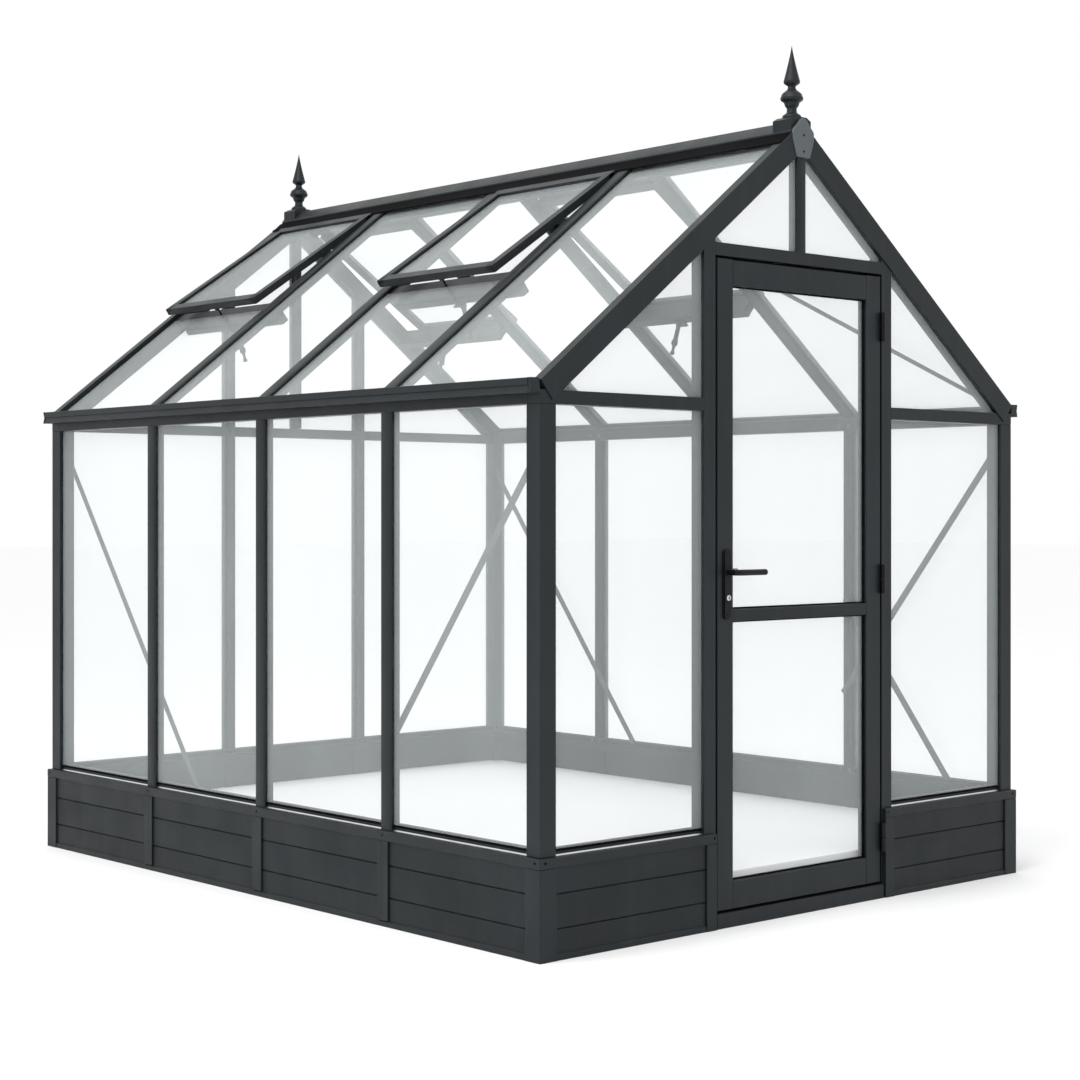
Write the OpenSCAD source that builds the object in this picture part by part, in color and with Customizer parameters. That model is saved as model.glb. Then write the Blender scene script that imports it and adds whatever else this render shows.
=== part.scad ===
// Glass greenhouse: four bays long, gable roof, low panelled plinth, hinged door in the front gable.
// Millimetres. Origin on the ground under the middle of the house. +Z up, the door gable faces -Y.

/* [House] */
// Width over the plinth
width = 2070; // [1970:10:2500]
// Length over the plinth
length = 2640; // [2500:10:3400]
// Height of the plinth with its cap
plinth_height = 272; // [240:2:320]
// Top of the wall posts
post_top = 1463; // [1430:1:1600]
// Pitch of the roof in degrees
roof_pitch = 38; // [34:0.5:40]
// Number of bays along each side
bays = 4; // [3:1:5]
// Distance between the two posts of the rear gable
rear_bay = 600; // [520:10:700]

/* [Frame] */
// Face width of a corner post
post_w = 56; // [50:1:70]
// Face width of a glazing bar's outer cap
cap_w = 50; // [44:1:60]
// Thickness of a glazing bar's outer cap
cap_t = 12; // [10:1:14]
// Width of a glazing bar's web
web_w = 22; // [16:1:28]
// Depth of a glazing bar from its outer face to its inner face
bar_d = 45; // [40:1:48]
// Thickness of the gable frame from front to back
gable_d = 50; // [49:1:56]
// Height of the rail on top of the wall posts
rail_h = 37; // [30:1:44]
// Face depth of a gable rafter, square to the slope
rafter_h = 68; // [60:1:80]
// Thickness of the glass
glass_t = 4; // [3:0.5:6]
// Height of the sill rail under the wall glass
sill_h = 18; // [14:1:24]
// Face width of a gable mullion
mullion_w = 34; // [30:1:46]
// Height of the roof plane above the rail, at the wall's face
eave_rise = 26; // [22:1:30]
// How far the roof bars run out past the wall's face, along the slope
bar_tail = 22; // [20:1:24]
// How far the roof glass runs out past the wall's face, along the slope
glass_tail = 19; // [14:1:19]
// Running clearance under the roof glass
glass_seat = 0.3; // [0.2:0.1:0.5]

/* [Plinth] */
// Height of the cap rail
plinth_cap_h = 28; // [20:1:34]
// Depth of the cap rail from outside to inside
plinth_cap_d = 70; // [68:1:84]
// How far the plinth stands out past the walls
ledge = 12; // [6:1:12]
// Thickness of a plinth panel
panel_t = 20; // [14:1:26]
// Face width of a plinth corner post
plinth_post_w = 60; // [50:1:68]
// Distance from the outer face of the plinth to its panels
panel_inset = 6; // [4:1:8]
// Height of the bottom rail
base_rail_h = 18; // [10:1:24]

/* [Gutter and ridge] */
// Width of the gutter
gutter_w = 35; // [30:1:50]
// Height of the gutter
gutter_h = 40; // [34:1:48]
// Height of the gutter's rim above the rail
gutter_rise = 30; // [26:1:34]
// Wall thickness of the gutter
gutter_t = 3; // [2:0.5:4]
// Half width of the ridge beam
ridge_half = 20; // [16:1:26]
// Half width of the ridge capping
ridge_cap_half = 95; // [80:1:105]
// Depth of the ridge beam below the top of the capping
ridge_h = 92; // [80:1:110]
// Height of a finial
finial_h = 215; // [160:5:260]
// Length of the saddle under a finial
saddle_l = 72; // [68:1:90]
// Width of an apex plate
plate_w = 92; // [80:1:110]
// Height of an apex plate
plate_h = 116; // [100:1:130]
// Thickness of an apex plate
plate_t = 8; // [6:0.5:10]

/* [Door] */
// Width of the doorway between its posts
doorway_w = 730; // [680:5:740]
// Height of the underside of the lintel
lintel_z = 1905; // [1870:1:1930]
// Height of the lintel
lintel_h = 37; // [30:1:44]
// Face width of a door post
door_post_w = 46; // [40:1:56]
// Height of the threshold
threshold_h = 42; // [30:1:44]
// Distance of the threshold behind the plinth's face
threshold_set = 4; // [2:1:6]
// Gap round the door leaf
door_gap = 8; // [6:0.5:10]
// Thickness of the door leaf
leaf_t = 34; // [28:1:36]
// Face width of a door stile
stile_w = 64; // [56:1:74]
// Height of the door's top rail
top_rail_h = 74; // [60:1:90]
// Height of the door's bottom rail
bottom_rail_h = 79; // [60:1:100]
// Height of the door's middle rail
mid_rail_h = 35; // [30:1:44]
// Height of the middle of the door's middle rail
mid_rail_z = 885; // [800:5:940]

/* [Handle and hinges] */
// Height of the lever above the ground
lever_z = 1007; // [995:1:1060]
// Length of the lever from its spindle to its tip
lever_l = 125; // [100:1:140]
// Distance of the lever in front of the door leaf
lever_reach = 40; // [36:1:40]
// Radius of the lever's round bar
lever_r = 9; // [8:0.5:9]
// Radius of the lever's turning neck
neck_r = 8; // [6:0.5:9]
// Height of a handle backplate
backplate_h = 200; // [180:2:240]
// Width of a handle backplate
backplate_w = 32; // [28:1:40]
// Thickness of a handle backplate
backplate_t = 8; // [6:0.5:10]
// Radius of a hinge barrel
barrel_r = 8; // [7:0.5:8]
// Radius of a hinge pin
pin_r = 4; // [3:0.5:5]
// Height of a hinge
hinge_h = 88; // [70:1:110]
// Thickness of a hinge leaf
hinge_leaf_t = 2.5; // [2:0.1:2.8]
// Width of a hinge leaf, from the pin inwards
hinge_leaf_w = 32; // [26:1:36]

/* [Vents] */
// Length of a vent down the slope
vent_l = 610; // [500:10:640]
// Angle that the vents stand open, in degrees
vent_open = 4; // [3:0.5:7]
// Depth of a vent's frame
vent_t = 24; // [20:1:30]
// Face width of a vent's stiles and rails
vent_frame_w = 34; // [28:1:44]
// Width of a vent opener's arm
arm_w = 10; // [8:1:14]
// Thickness of a vent opener's clamp
clamp_t = 6; // [4:1:10]
// Width of a vent opener's clamp
clamp_w = 44; // [36:1:56]
// Radius of a vent opener's cylinder
opener_r = 11; // [9:0.5:14]
// Length of a vent opener's cylinder
opener_l = 120; // [90:5:140]

/* [Braces] */
// Width of a flat brace
brace_w = 24; // [18:1:30]
// Thickness of a flat brace
brace_t = 4; // [3:0.5:4]
// Height of a wall brace's upper end below the post top
brace_drop = 118; // [80:2:160]
// Fall of a wall brace for each unit along the wall
brace_slope = 1.27; // [1.1:0.01:1.4]
// Length along the wall of the short crossing brace
cross_run = 450; // [400:10:480]
// Fall of the crossing brace for each unit along the wall
cross_slope = 1.32; // [1.2:0.01:1.4]

/* [Hidden] */
$fn = 48;

frame_grey = "#2f3436";
glass_tint = [0.85, 0.93, 0.92, 0.35];

base_w = width / 2;
base_l = length / 2;
half_w = base_w - ledge;
half_l = base_l - ledge;
rail_top = post_top + rail_h;
bay = (2 * half_l - post_w) / bays;

// The roof plane is the outer face of the bars. It leaves the wall's outer face a little over the rail.
eave_z = rail_top + eave_rise;
slope = tan(roof_pitch);
cos_p = cos(roof_pitch);
slope_l = half_w / cos_p;
apex_z = eave_z + half_w * slope;
glass_drop = (cap_t + glass_t) / cos_p;
ridge_top = apex_z + 4;
ridge_seat = 0.2;
ridge_low = ridge_top - ridge_h;
ridge_edge_z = apex_z - ridge_cap_half * slope + ridge_seat;
ridge_lip = 7;

plinth_cap_z = plinth_height - plinth_cap_h;
sill_top = plinth_height + sill_h;
front_y = -half_l;
rear_y = half_l;
post_x = doorway_w / 2;
post_out = post_x + door_post_w;
glass_in = cap_t;

leaf_half = post_x - door_gap;
leaf_low = threshold_h + door_gap;
leaf_top = lintel_z - door_gap;
leaf_y = front_y;
door_stop = 14;
stop_gap = 6;
hinge_x = post_x - door_gap / 2;
hinge_y = front_y - barrel_r - 0.5;
knuckle_h = hinge_h / 2 - 0.3;
// The strips beside the doorway leave room for the hinge barrels
strip_x = hinge_x + barrel_r + 1.5;
hinge_zs = [142, 931, 1700];
hinge_fit = 0.06;
handle_x = -leaf_half + 36;
cylinder_z = lever_z - 72;

vent_half = (bay - cap_w - 16) / 2;
vent_bays = [1, 3];
vent_overlap = 33;
vent_sill_u = (half_w - ridge_cap_half) / cos_p - vent_l + vent_overlap;
vent_sill_w = 32;
vent_sill_d = 75;
vent_sill_lip = 13;
arm_slot = arm_w / 2 + 2;

// Height of the roof plane over a place x across the house
function roof_z(x) = apex_z - abs(x) * slope;
// Height of the seat under the roof glass over a place x across the house
function seat_z(x) = roof_z(x) - glass_drop - glass_seat;
// Place of bar i along the house
function bar_y(i) = -half_l + post_w / 2 + i * bay;
// Middle of bay i along the house
function bay_y(i) = bar_y(i) + bay / 2;
// Front and rear limits of wall bay i, between the bars' webs or the corner posts
function wall_near(i) = i == 0 ? -half_l + post_w : bar_y(i) + web_w / 2;
function wall_far(i) = i == bays - 1 ? half_l - post_w : bar_y(i + 1) - web_w / 2;
// Front and rear limits of roof bay i, between the bars' webs or the gable rafters
function roof_near(i) = i == 0 ? -half_l + gable_d : bar_y(i) + web_w / 2;
function roof_far(i) = i == bays - 1 ? half_l - gable_d : bar_y(i + 1) - web_w / 2;

// A box from its low corner to its high corner
module span(a, b) {
    translate(a) cube(b - a);
}

// What is drawn for the left side, and again for the right side
module both_sides() {
    children();
    mirror([1, 0, 0]) children();
}

// What is drawn for the front, and again for the rear
module both_ends() {
    children();
    mirror([0, 1, 0]) children();
}

// The left slope's own frame: x runs up the slope from the wall face, y along the house, z out of the roof
module on_left_slope() {
    translate([-half_w, 0, eave_z]) rotate([0, -roof_pitch, 0]) children();
}

// A shape drawn across the house, x sideways and y up, pushed from y0 to y1 along the house
module along(y0, y1) {
    translate([0, y1, 0]) rotate([90, 0, 0]) linear_extrude(height = y1 - y0) children();
}

// A flat strip inside a left side wall from [y, z] to [y, z]
module wall_strip(from, to) {
    run = to - from;
    translate([-half_w + bar_d, from[0], from[1]])
        rotate([atan2(run[1], run[0]), 0, 0])
            translate([0, 0, -brace_w / 2])
                cube([brace_t, norm(run), brace_w]);
}

// ---- Plinth ----

module base_rails() {
    d = 40;
    end = plinth_post_w;
    color(frame_grey) {
        both_sides() span([-base_w + 2, -base_l + end, 0], [-base_w + d, base_l - end, base_rail_h]);
        both_sides() span([-base_w + end, -base_l + 2, 0], [-post_out, -base_l + d, base_rail_h]);
        span([-base_w + end, base_l - d, 0], [base_w - end, base_l - 2, base_rail_h]);
    }
}

module plinth_corner_posts() {
    w = plinth_post_w;
    color(frame_grey)
        both_sides() both_ends() span([-base_w, -base_l, 0], [-base_w + w, -base_l + w, plinth_cap_z]);
}

// Flat strips over the joints of the panels, and in front of the door posts
module plinth_strips() {
    low = base_rail_h;
    half = cap_w / 2;
    color(frame_grey) {
        both_sides() for (i = [1:bays - 1])
            span([-base_w, bar_y(i) - half, low], [-base_w + panel_inset, bar_y(i) + half, plinth_cap_z]);
        both_sides()
            span([-rear_bay / 2 - half, base_l - panel_inset, low],
                [-rear_bay / 2 + half, base_l, plinth_cap_z]);
        both_sides() span([-post_out, -base_l, 0], [-strip_x, front_y, plinth_cap_z]);
    }
}

module plinth_side_panel() {
    color(frame_grey)
        span([-base_w + panel_inset, -base_l + plinth_post_w, base_rail_h],
            [-base_w + panel_inset + panel_t, base_l - plinth_post_w, plinth_cap_z]);
}

module plinth_panel_left() {
    plinth_side_panel();
}

module plinth_panel_right() {
    mirror([1, 0, 0]) plinth_side_panel();
}

module plinth_panel_rear() {
    color(frame_grey)
        span([-base_w + plinth_post_w, base_l - panel_inset - panel_t, base_rail_h],
            [base_w - plinth_post_w, base_l - panel_inset, plinth_cap_z]);
}

module plinth_panels_front() {
    color(frame_grey) both_sides()
        span([-base_w + plinth_post_w, -base_l + panel_inset, base_rail_h],
            [-post_out, -base_l + panel_inset + panel_t, plinth_cap_z]);
}

module plinth_cap_sides() {
    color(frame_grey) both_sides()
        span([-base_w, -base_l, plinth_cap_z], [-base_w + plinth_cap_d, base_l, plinth_height]);
}

module plinth_cap_ends() {
    d = plinth_cap_d;
    color(frame_grey) {
        both_sides() union() {
            span([-base_w + d, -base_l, plinth_cap_z], [-post_out, -base_l + d, plinth_height]);
            span([-post_out - 1, -base_l, plinth_cap_z], [-strip_x, front_y, plinth_height]);
        }
        span([-base_w + d, base_l - d, plinth_cap_z], [base_w - d, base_l, plinth_height]);
    }
}

// ---- Walls ----

// A glazing bar standing on the plinth at the origin, its outer face towards -y
module standing_bar(top) {
    span([-cap_w / 2, 0, plinth_height], [cap_w / 2, cap_t, top]);
    span([-web_w / 2, cap_t, plinth_height], [web_w / 2, bar_d, top]);
}

module sill_rails() {
    color(frame_grey) {
        both_sides() for (i = [0:bays - 1])
            span([-half_w + cap_t, wall_near(i), plinth_height], [-half_w + bar_d, wall_far(i), sill_top]);
        both_sides()
            span([-half_w + post_w, front_y + cap_t, plinth_height], [-post_out, front_y + bar_d, sill_top]);
        both_sides()
            span([-half_w + post_w, rear_y - bar_d, plinth_height],
                [-rear_bay / 2 - web_w / 2, rear_y - cap_t, sill_top]);
        span([-rear_bay / 2 + web_w / 2, rear_y - bar_d, plinth_height],
            [rear_bay / 2 - web_w / 2, rear_y - cap_t, sill_top]);
    }
}

module corner_posts() {
    color(frame_grey)
        both_sides() both_ends()
            span([-half_w, -half_l, plinth_height], [-half_w + post_w, -half_l + post_w, post_top]);
}

module wall_bars() {
    color(frame_grey)
        both_sides() for (i = [1:bays - 1])
            translate([-half_w, bar_y(i), 0]) rotate([0, 0, -90]) standing_bar(post_top);
}

// The space under the rafters, open downwards
module under_rafters() {
    drop = rafter_h / cos_p;
    along(-half_l - 1, half_l + 1)
        polygon([[-half_w, 0], [half_w, 0], [half_w, eave_z - drop], [0, apex_z - drop],
            [-half_w, eave_z - drop]]);
}

module rear_posts() {
    color(frame_grey)
        both_sides() intersection() {
            translate([-rear_bay / 2, rear_y, 0]) rotate([0, 0, 180]) standing_bar(apex_z);
            under_rafters();
        }
}

module door_posts() {
    color(frame_grey)
        both_sides() intersection() {
            union() {
                span([-post_out, front_y, 0], [-post_x, front_y + gable_d, apex_z]);
                span([-post_x, front_y + leaf_t + stop_gap, threshold_h],
                    [-post_x + door_stop, front_y + gable_d, lintel_z]);
            }
            under_rafters();
        }
}

module threshold() {
    color("#3c4143") span([-post_x, -base_l + threshold_set, 0], [post_x, front_y + gable_d, threshold_h]);
}

module lintel() {
    color(frame_grey) span([-post_x, front_y, lintel_z], [post_x, front_y + gable_d, lintel_z + lintel_h]);
}

module eave_rails() {
    inner = -half_w + gable_d;
    color(frame_grey)
        both_sides() along(-half_l + gable_d, half_l - gable_d)
            polygon([[-half_w, post_top], [inner, post_top], [inner, seat_z(inner)],
                [-half_w, seat_z(half_w)]]);
}

module gable_rails() {
    color(frame_grey) {
        both_sides() span([-half_w, front_y, post_top], [-post_out, front_y + gable_d, rail_top]);
        both_sides()
            span([-half_w, rear_y - gable_d, post_top], [-rear_bay / 2 - cap_w / 2, rear_y, rail_top]);
        span([-rear_bay / 2 + cap_w / 2, rear_y - gable_d, post_top],
            [rear_bay / 2 - cap_w / 2, rear_y, rail_top]);
    }
}

module gutters() {
    low = rail_top + gutter_rise - gutter_h;
    out = -half_w - gutter_w;
    color(frame_grey)
        both_sides() {
            along(-half_l, half_l)
                polygon([[-half_w, low], [-half_w, rail_top], [-half_w - gutter_t, rail_top],
                    [-half_w - gutter_t, low + gutter_t], [out + gutter_t, low + gutter_t],
                    [out + gutter_t, low + gutter_h], [out, low + gutter_h], [out, low]]);
            both_ends()
                span([out + gutter_t, -half_l, low + gutter_t],
                    [-half_w - gutter_t, -half_l + gutter_t, rail_top]);
        }
}

// ---- Gables ----

module left_rafters() {
    drop = rafter_h / cos_p;
    seat = -half_w + (rail_top - (eave_z - drop)) / slope;
    color(frame_grey)
        both_ends() along(-half_l, -half_l + gable_d)
            polygon([[-half_w, eave_z], [0, apex_z], [0, apex_z - drop], [seat, rail_top],
                [-half_w, rail_top]]);
}

module gable_rafters_left() {
    left_rafters();
}

module gable_rafters_right() {
    mirror([1, 0, 0]) left_rafters();
}

module gable_mullions() {
    half = mullion_w / 2;
    color(frame_grey)
        intersection() {
            union() {
                span([-half, front_y, lintel_z + lintel_h], [half, front_y + gable_d, apex_z]);
                span([-half, rear_y - bar_d, rail_top], [half, rear_y, apex_z]);
            }
            under_rafters();
        }
}

// The plate follows the roof's pitch at its top and narrows to a short foot
module apex_plates() {
    half = plate_w / 2;
    foot = half * 0.4;
    top = ridge_top + 6;
    shoulder = top - half * slope;
    foot_z = top - plate_h;
    color("#4a5053")
        both_ends() along(-half_l - plate_t, -half_l)
            polygon([[0, top], [half, shoulder], [half, foot_z + half * slope], [foot, foot_z],
                [-foot, foot_z], [-half, foot_z + half * slope], [-half, shoulder]]);
}

// ---- Roof ----

// The part of the left slope that bars may fill: short of the ridge beam, clear of the eave rail
module left_roof_room() {
    inner = -half_w + gable_d;
    edge = -half_w - bar_tail;
    along(-half_l, half_l)
        polygon([[edge, seat_z(edge)], [inner, seat_z(inner)], [inner, post_top],
            [-ridge_half, post_top], [-ridge_half, apex_z + 50], [edge, apex_z + 50]]);
}

module roof_bars() {
    color(frame_grey)
        both_sides() for (i = [1:bays - 1])
            intersection() {
                on_left_slope() union() {
                    span([-bar_tail, bar_y(i) - cap_w / 2, -cap_t], [slope_l, bar_y(i) + cap_w / 2, 0]);
                    span([-bar_tail, bar_y(i) - web_w / 2, -bar_d], [slope_l, bar_y(i) + web_w / 2, -cap_t]);
                }
                left_roof_room();
            }
}

// Outline of the ridge capping
module ridge_capping() {
    polygon([[-ridge_cap_half, ridge_edge_z], [-ridge_cap_half, ridge_edge_z + ridge_lip], [-12, ridge_top],
        [12, ridge_top], [ridge_cap_half, ridge_edge_z + ridge_lip], [ridge_cap_half, ridge_edge_z],
        [0, apex_z]]);
}

module ridge() {
    beam_z = roof_z(ridge_half);
    color(frame_grey)
        union() {
            along(-half_l, half_l) ridge_capping();
            along(-half_l + gable_d, half_l - gable_d)
                polygon([[-ridge_half, ridge_low], [ridge_half, ridge_low], [ridge_half, beam_z],
                    [0, ridge_top - 1], [-ridge_half, beam_z]]);
        }
}

// A finial with its foot at the origin: flared foot, bulb with a ring, collar and spire
module finial() {
    k = finial_h / 215;
    scale(k)
        rotate_extrude()
            polygon([[0, 0], [26, 0], [26, 6], [17, 14], [16, 26], [24, 34], [24, 38], [32, 46], [34, 58],
                [30, 70], [18, 80], [11, 86], [11, 92], [22, 100], [24, 108], [20, 122], [12, 142], [5, 172],
                [2, 205], [0, 215]]);
}

module finials() {
    foot_z = ridge_top + 12;
    saddle_set = 4;
    flat_half = 12;
    saddle_half = 28;
    side_fall = (ridge_top - ridge_edge_z - ridge_lip) / (ridge_cap_half - flat_half);
    side_z = ridge_top - (saddle_half - flat_half) * side_fall;
    color(frame_grey)
        both_ends() union() {
            along(-half_l + saddle_set, -half_l + saddle_set + saddle_l)
                polygon([[-saddle_half, foot_z], [-saddle_half, side_z], [-flat_half, ridge_top],
                    [flat_half, ridge_top], [saddle_half, side_z], [saddle_half, foot_z]]);
            translate([0, -half_l + saddle_set + saddle_l / 2, foot_z - 1]) finial();
        }
}

// ---- Glass ----

module side_wall_glass() {
    color(glass_tint)
        both_sides() for (i = [0:bays - 1])
            span([-half_w + glass_in, wall_near(i), sill_top],
                [-half_w + glass_in + glass_t, wall_far(i), post_top]);
}

module end_wall_glass() {
    color(glass_tint) {
        both_sides()
            span([-half_w + post_w, front_y + glass_in, sill_top],
                [-post_out, front_y + glass_in + glass_t, post_top]);
        both_sides()
            span([-half_w + post_w, rear_y - glass_in - glass_t, sill_top],
                [-rear_bay / 2 - web_w / 2, rear_y - glass_in, post_top]);
        span([-rear_bay / 2 + web_w / 2, rear_y - glass_in - glass_t, sill_top],
            [rear_bay / 2 - web_w / 2, rear_y - glass_in, post_top]);
    }
}

// One pane over the eaves between x0 and x1 on the left half of a gable
module gable_pane(x0, x1, low, y) {
    span([x0, y, low], [x1, y + glass_t, apex_z]);
}

module gable_glass() {
    front = front_y + glass_in;
    rear = rear_y - glass_in - glass_t;
    color(glass_tint)
        both_sides() intersection() {
            union() {
                gable_pane(-half_w, -post_out, rail_top, front);
                gable_pane(-post_x, -mullion_w / 2, lintel_z + lintel_h, front);
                gable_pane(-half_w, -rear_bay / 2 - web_w / 2, rail_top, rear);
                gable_pane(-rear_bay / 2 + web_w / 2, -mullion_w / 2, rail_top, rear);
            }
            under_rafters();
        }
}

module left_roof_glass() {
    top = (half_w - ridge_half) / cos_p - (cap_t + glass_t) * slope;
    color(glass_tint)
        on_left_slope() for (i = [0:bays - 1]) {
            end = len(search(i, vent_bays)) > 0 ? vent_sill_u - vent_sill_lip : top;
            span([-glass_tail, roof_near(i), -cap_t - glass_t], [end, roof_far(i), -cap_t]);
        }
}

module roof_glass_left() {
    left_roof_glass();
}

module roof_glass_right() {
    mirror([1, 0, 0]) left_roof_glass();
}

// ---- Braces ----

module wall_braces() {
    top_z = post_top - brace_drop;
    sill_z = plinth_height + sill_h / 2;
    end_y = -half_l + post_w;
    run = (top_z - sill_z) / brace_slope;
    hidden_run = 20;
    bar_1 = bar_y(1);
    low_y = bar_1 - cross_run;
    color("#5b6164") {
        both_sides() intersection() {
            both_ends()
                wall_strip([end_y - hidden_run, top_z + hidden_run * brace_slope], [end_y + run, sill_z]);
            union() {
                span([-half_w, -half_l + post_w, plinth_height], [0, bar_1 + brace_w / 2, post_top]);
                span([-half_w, 0, plinth_height], [0, half_l - post_w, post_top]);
            }
        }
        mirror([1, 0, 0]) wall_strip([low_y, sill_z], [bar_1, sill_z + cross_run * cross_slope]);
    }
}

module roof_brace() {
    from = [100, -half_l + gable_d];
    to = [slope_l - 430, bar_y(1)];
    run = to - from;
    hidden_run = 30;
    color("#5b6164")
        mirror([1, 0, 0]) intersection() {
            on_left_slope()
                translate([from[0], from[1], -bar_d - brace_t])
                    rotate([0, 0, atan2(run[1], run[0])])
                        translate([-hidden_run, -brace_w / 2, 0])
                            cube([norm(run) + hidden_run, brace_w, brace_t]);
            span([-half_w, -half_l + gable_d, 0], [0, half_l, apex_z]);
        }
}

// ---- Vents ----

// The left slope's vent frame in bay i, swung open about the edge of the ridge capping: x runs down the vent
module on_left_vent(i) {
    translate([-ridge_cap_half, bay_y(i), ridge_edge_z + ridge_lip])
        rotate([0, 180 - roof_pitch + vent_open, 0])
            mirror([0, 0, 1])
                children();
}

// A sill bar between two roof bars, with a lip down to the glass that is open where the opener's arm passes
module vent_sill(i) {
    span([vent_sill_u, roof_near(i), -cap_t - vent_sill_d], [vent_sill_u + vent_sill_w, roof_far(i), -cap_t]);
    for (part = [[roof_near(i), bay_y(i) - arm_slot], [bay_y(i) + arm_slot, roof_far(i)]])
        span([vent_sill_u - vent_sill_lip, part[0], -cap_t - glass_t], [vent_sill_u + 1, part[1], -cap_t]);
}

module vent_sills() {
    color(frame_grey)
        both_sides() on_left_slope() for (i = vent_bays)
            union() vent_sill(i);
}

module vent_stiles() {
    color(frame_grey)
        both_sides() for (i = vent_bays, side = [-1, 1])
            on_left_vent(i)
                translate([vent_frame_w, side * (vent_half - vent_frame_w / 2) - vent_frame_w / 2, -vent_t])
                    cube([vent_l - 2 * vent_frame_w, vent_frame_w, vent_t]);
}

module vent_rails() {
    color(frame_grey)
        both_sides() for (i = vent_bays) {
            intersection() {
                on_left_vent(i) span([-20, -vent_half, -vent_t], [vent_frame_w, vent_half, 0]);
                span([-half_w, -half_l, post_top], [-ridge_cap_half, half_l, apex_z]);
            }
            on_left_vent(i) span([vent_l - vent_frame_w, -vent_half, -vent_t], [vent_l, vent_half, 0]);
        }
}

module vent_glass() {
    low = -vent_t / 2 - glass_t / 2;
    color(glass_tint)
        both_sides() for (i = vent_bays)
            on_left_vent(i)
                span([vent_frame_w, -vent_half + vent_frame_w, low],
                    [vent_l - vent_frame_w, vent_half - vent_frame_w, low + glass_t]);
}

// An opener: a clamp under the sill, an arm in front of it up to the vent's lower rail and a hanging cylinder
module vent_opener(i) {
    low = -vent_sill_d - clamp_t;
    difference() {
        on_left_slope() translate([vent_sill_u, bay_y(i), -cap_t]) union() {
            span([-arm_w, -clamp_w / 2, low], [vent_sill_w, clamp_w / 2, -vent_sill_d]);
            span([-arm_w, -arm_w / 2, low], [0, arm_w / 2, vent_l / 4]);
            translate([vent_sill_w / 2, 0, low]) rotate([0, 200, 0]) cylinder(r = opener_r, h = opener_l);
        }
        on_left_vent(i) span([0, -vent_half, -vent_t], [2 * vent_l, vent_half, vent_l]);
    }
}

module vent_openers() {
    color("#26292b") both_sides() for (i = vent_bays) vent_opener(i);
}

// ---- Door ----

// Butt hinges: the leaves lie in the gap between post and stile, and the barrels stand in front of it
module hinge_frame_leaves() {
    color("#26292b")
        for (z = hinge_zs) {
            translate([hinge_x, hinge_y, z]) cylinder(r = barrel_r, h = knuckle_h);
            translate([hinge_x, hinge_y, z]) cylinder(r = pin_r, h = hinge_h);
            span([post_x - hinge_leaf_t, hinge_y, z], [post_x, hinge_y + hinge_leaf_w, z + knuckle_h]);
        }
}

module hinge_door_leaves() {
    color("#26292b")
        for (z = hinge_zs)
            difference() {
                union() {
                    translate([hinge_x, hinge_y, z + hinge_h / 2]) cylinder(r = barrel_r, h = hinge_h / 2);
                    span([leaf_half, hinge_y, z + hinge_h / 2],
                        [leaf_half + hinge_leaf_t, hinge_y + hinge_leaf_w, z + hinge_h]);
                }
                translate([hinge_x, hinge_y, z]) cylinder(r = pin_r + hinge_fit, h = hinge_h + 1);
            }
}

module door_stiles() {
    bore = neck_r + 2;
    color(frame_grey) {
        difference() {
            span([-leaf_half, leaf_y, leaf_low], [-leaf_half + stile_w, leaf_y + leaf_t, leaf_top]);
            translate([handle_x, leaf_y - 1, lever_z]) rotate([-90, 0, 0]) cylinder(r = bore, h = leaf_t + 2);
        }
        span([leaf_half - stile_w, leaf_y, leaf_low], [leaf_half, leaf_y + leaf_t, leaf_top]);
    }
}

module door_rail(low, high) {
    span([-leaf_half + stile_w, leaf_y, low], [leaf_half - stile_w, leaf_y + leaf_t, high]);
}

module door_rails() {
    color(frame_grey) {
        door_rail(leaf_low, leaf_low + bottom_rail_h);
        door_rail(mid_rail_z - mid_rail_h / 2, mid_rail_z + mid_rail_h / 2);
        door_rail(leaf_top - top_rail_h, leaf_top);
    }
}

module door_pane(low, high) {
    mid = leaf_y + leaf_t / 2;
    span([-leaf_half + stile_w, mid - glass_t / 2, low], [leaf_half - stile_w, mid + glass_t / 2, high]);
}

module door_glass() {
    color(glass_tint) {
        door_pane(leaf_low + bottom_rail_h, mid_rail_z - mid_rail_h / 2);
        door_pane(mid_rail_z + mid_rail_h / 2, leaf_top - top_rail_h);
    }
}

module door_backplates() {
    low = lever_z - backplate_h + 66;
    color("#1d2022")
        for (y = [leaf_y - backplate_t, leaf_y + leaf_t])
            difference() {
                span([handle_x - backplate_w / 2, y, low],
                    [handle_x + backplate_w / 2, y + backplate_t, low + backplate_h]);
                translate([handle_x, y - 1, lever_z])
                    rotate([-90, 0, 0]) cylinder(r = neck_r + hinge_fit, h = backplate_t + 2);
            }
}

module lock_cylinder() {
    color("#b9bdbf")
        for (y = [leaf_y - backplate_t - 4, leaf_y + leaf_t + backplate_t])
            translate([handle_x, y, cylinder_z]) rotate([-90, 0, 0]) cylinder(r = 8.5, h = 4);
}

module lever_arm() {
    rotate([0, 90, 0]) cylinder(r = lever_r, h = lever_l - lever_r);
    translate([lever_l - lever_r, 0, 0]) sphere(r = lever_r);
    sphere(r = lever_r);
}

module lever() {
    front = leaf_y - lever_reach;
    back = leaf_y + leaf_t + lever_reach;
    color("#1d2022")
        union() {
            translate([handle_x, front, lever_z]) rotate([-90, 0, 0]) cylinder(r = neck_r, h = back - front);
            translate([handle_x, front, lever_z]) lever_arm();
            translate([handle_x, back, lever_z]) lever_arm();
        }
}

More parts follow.
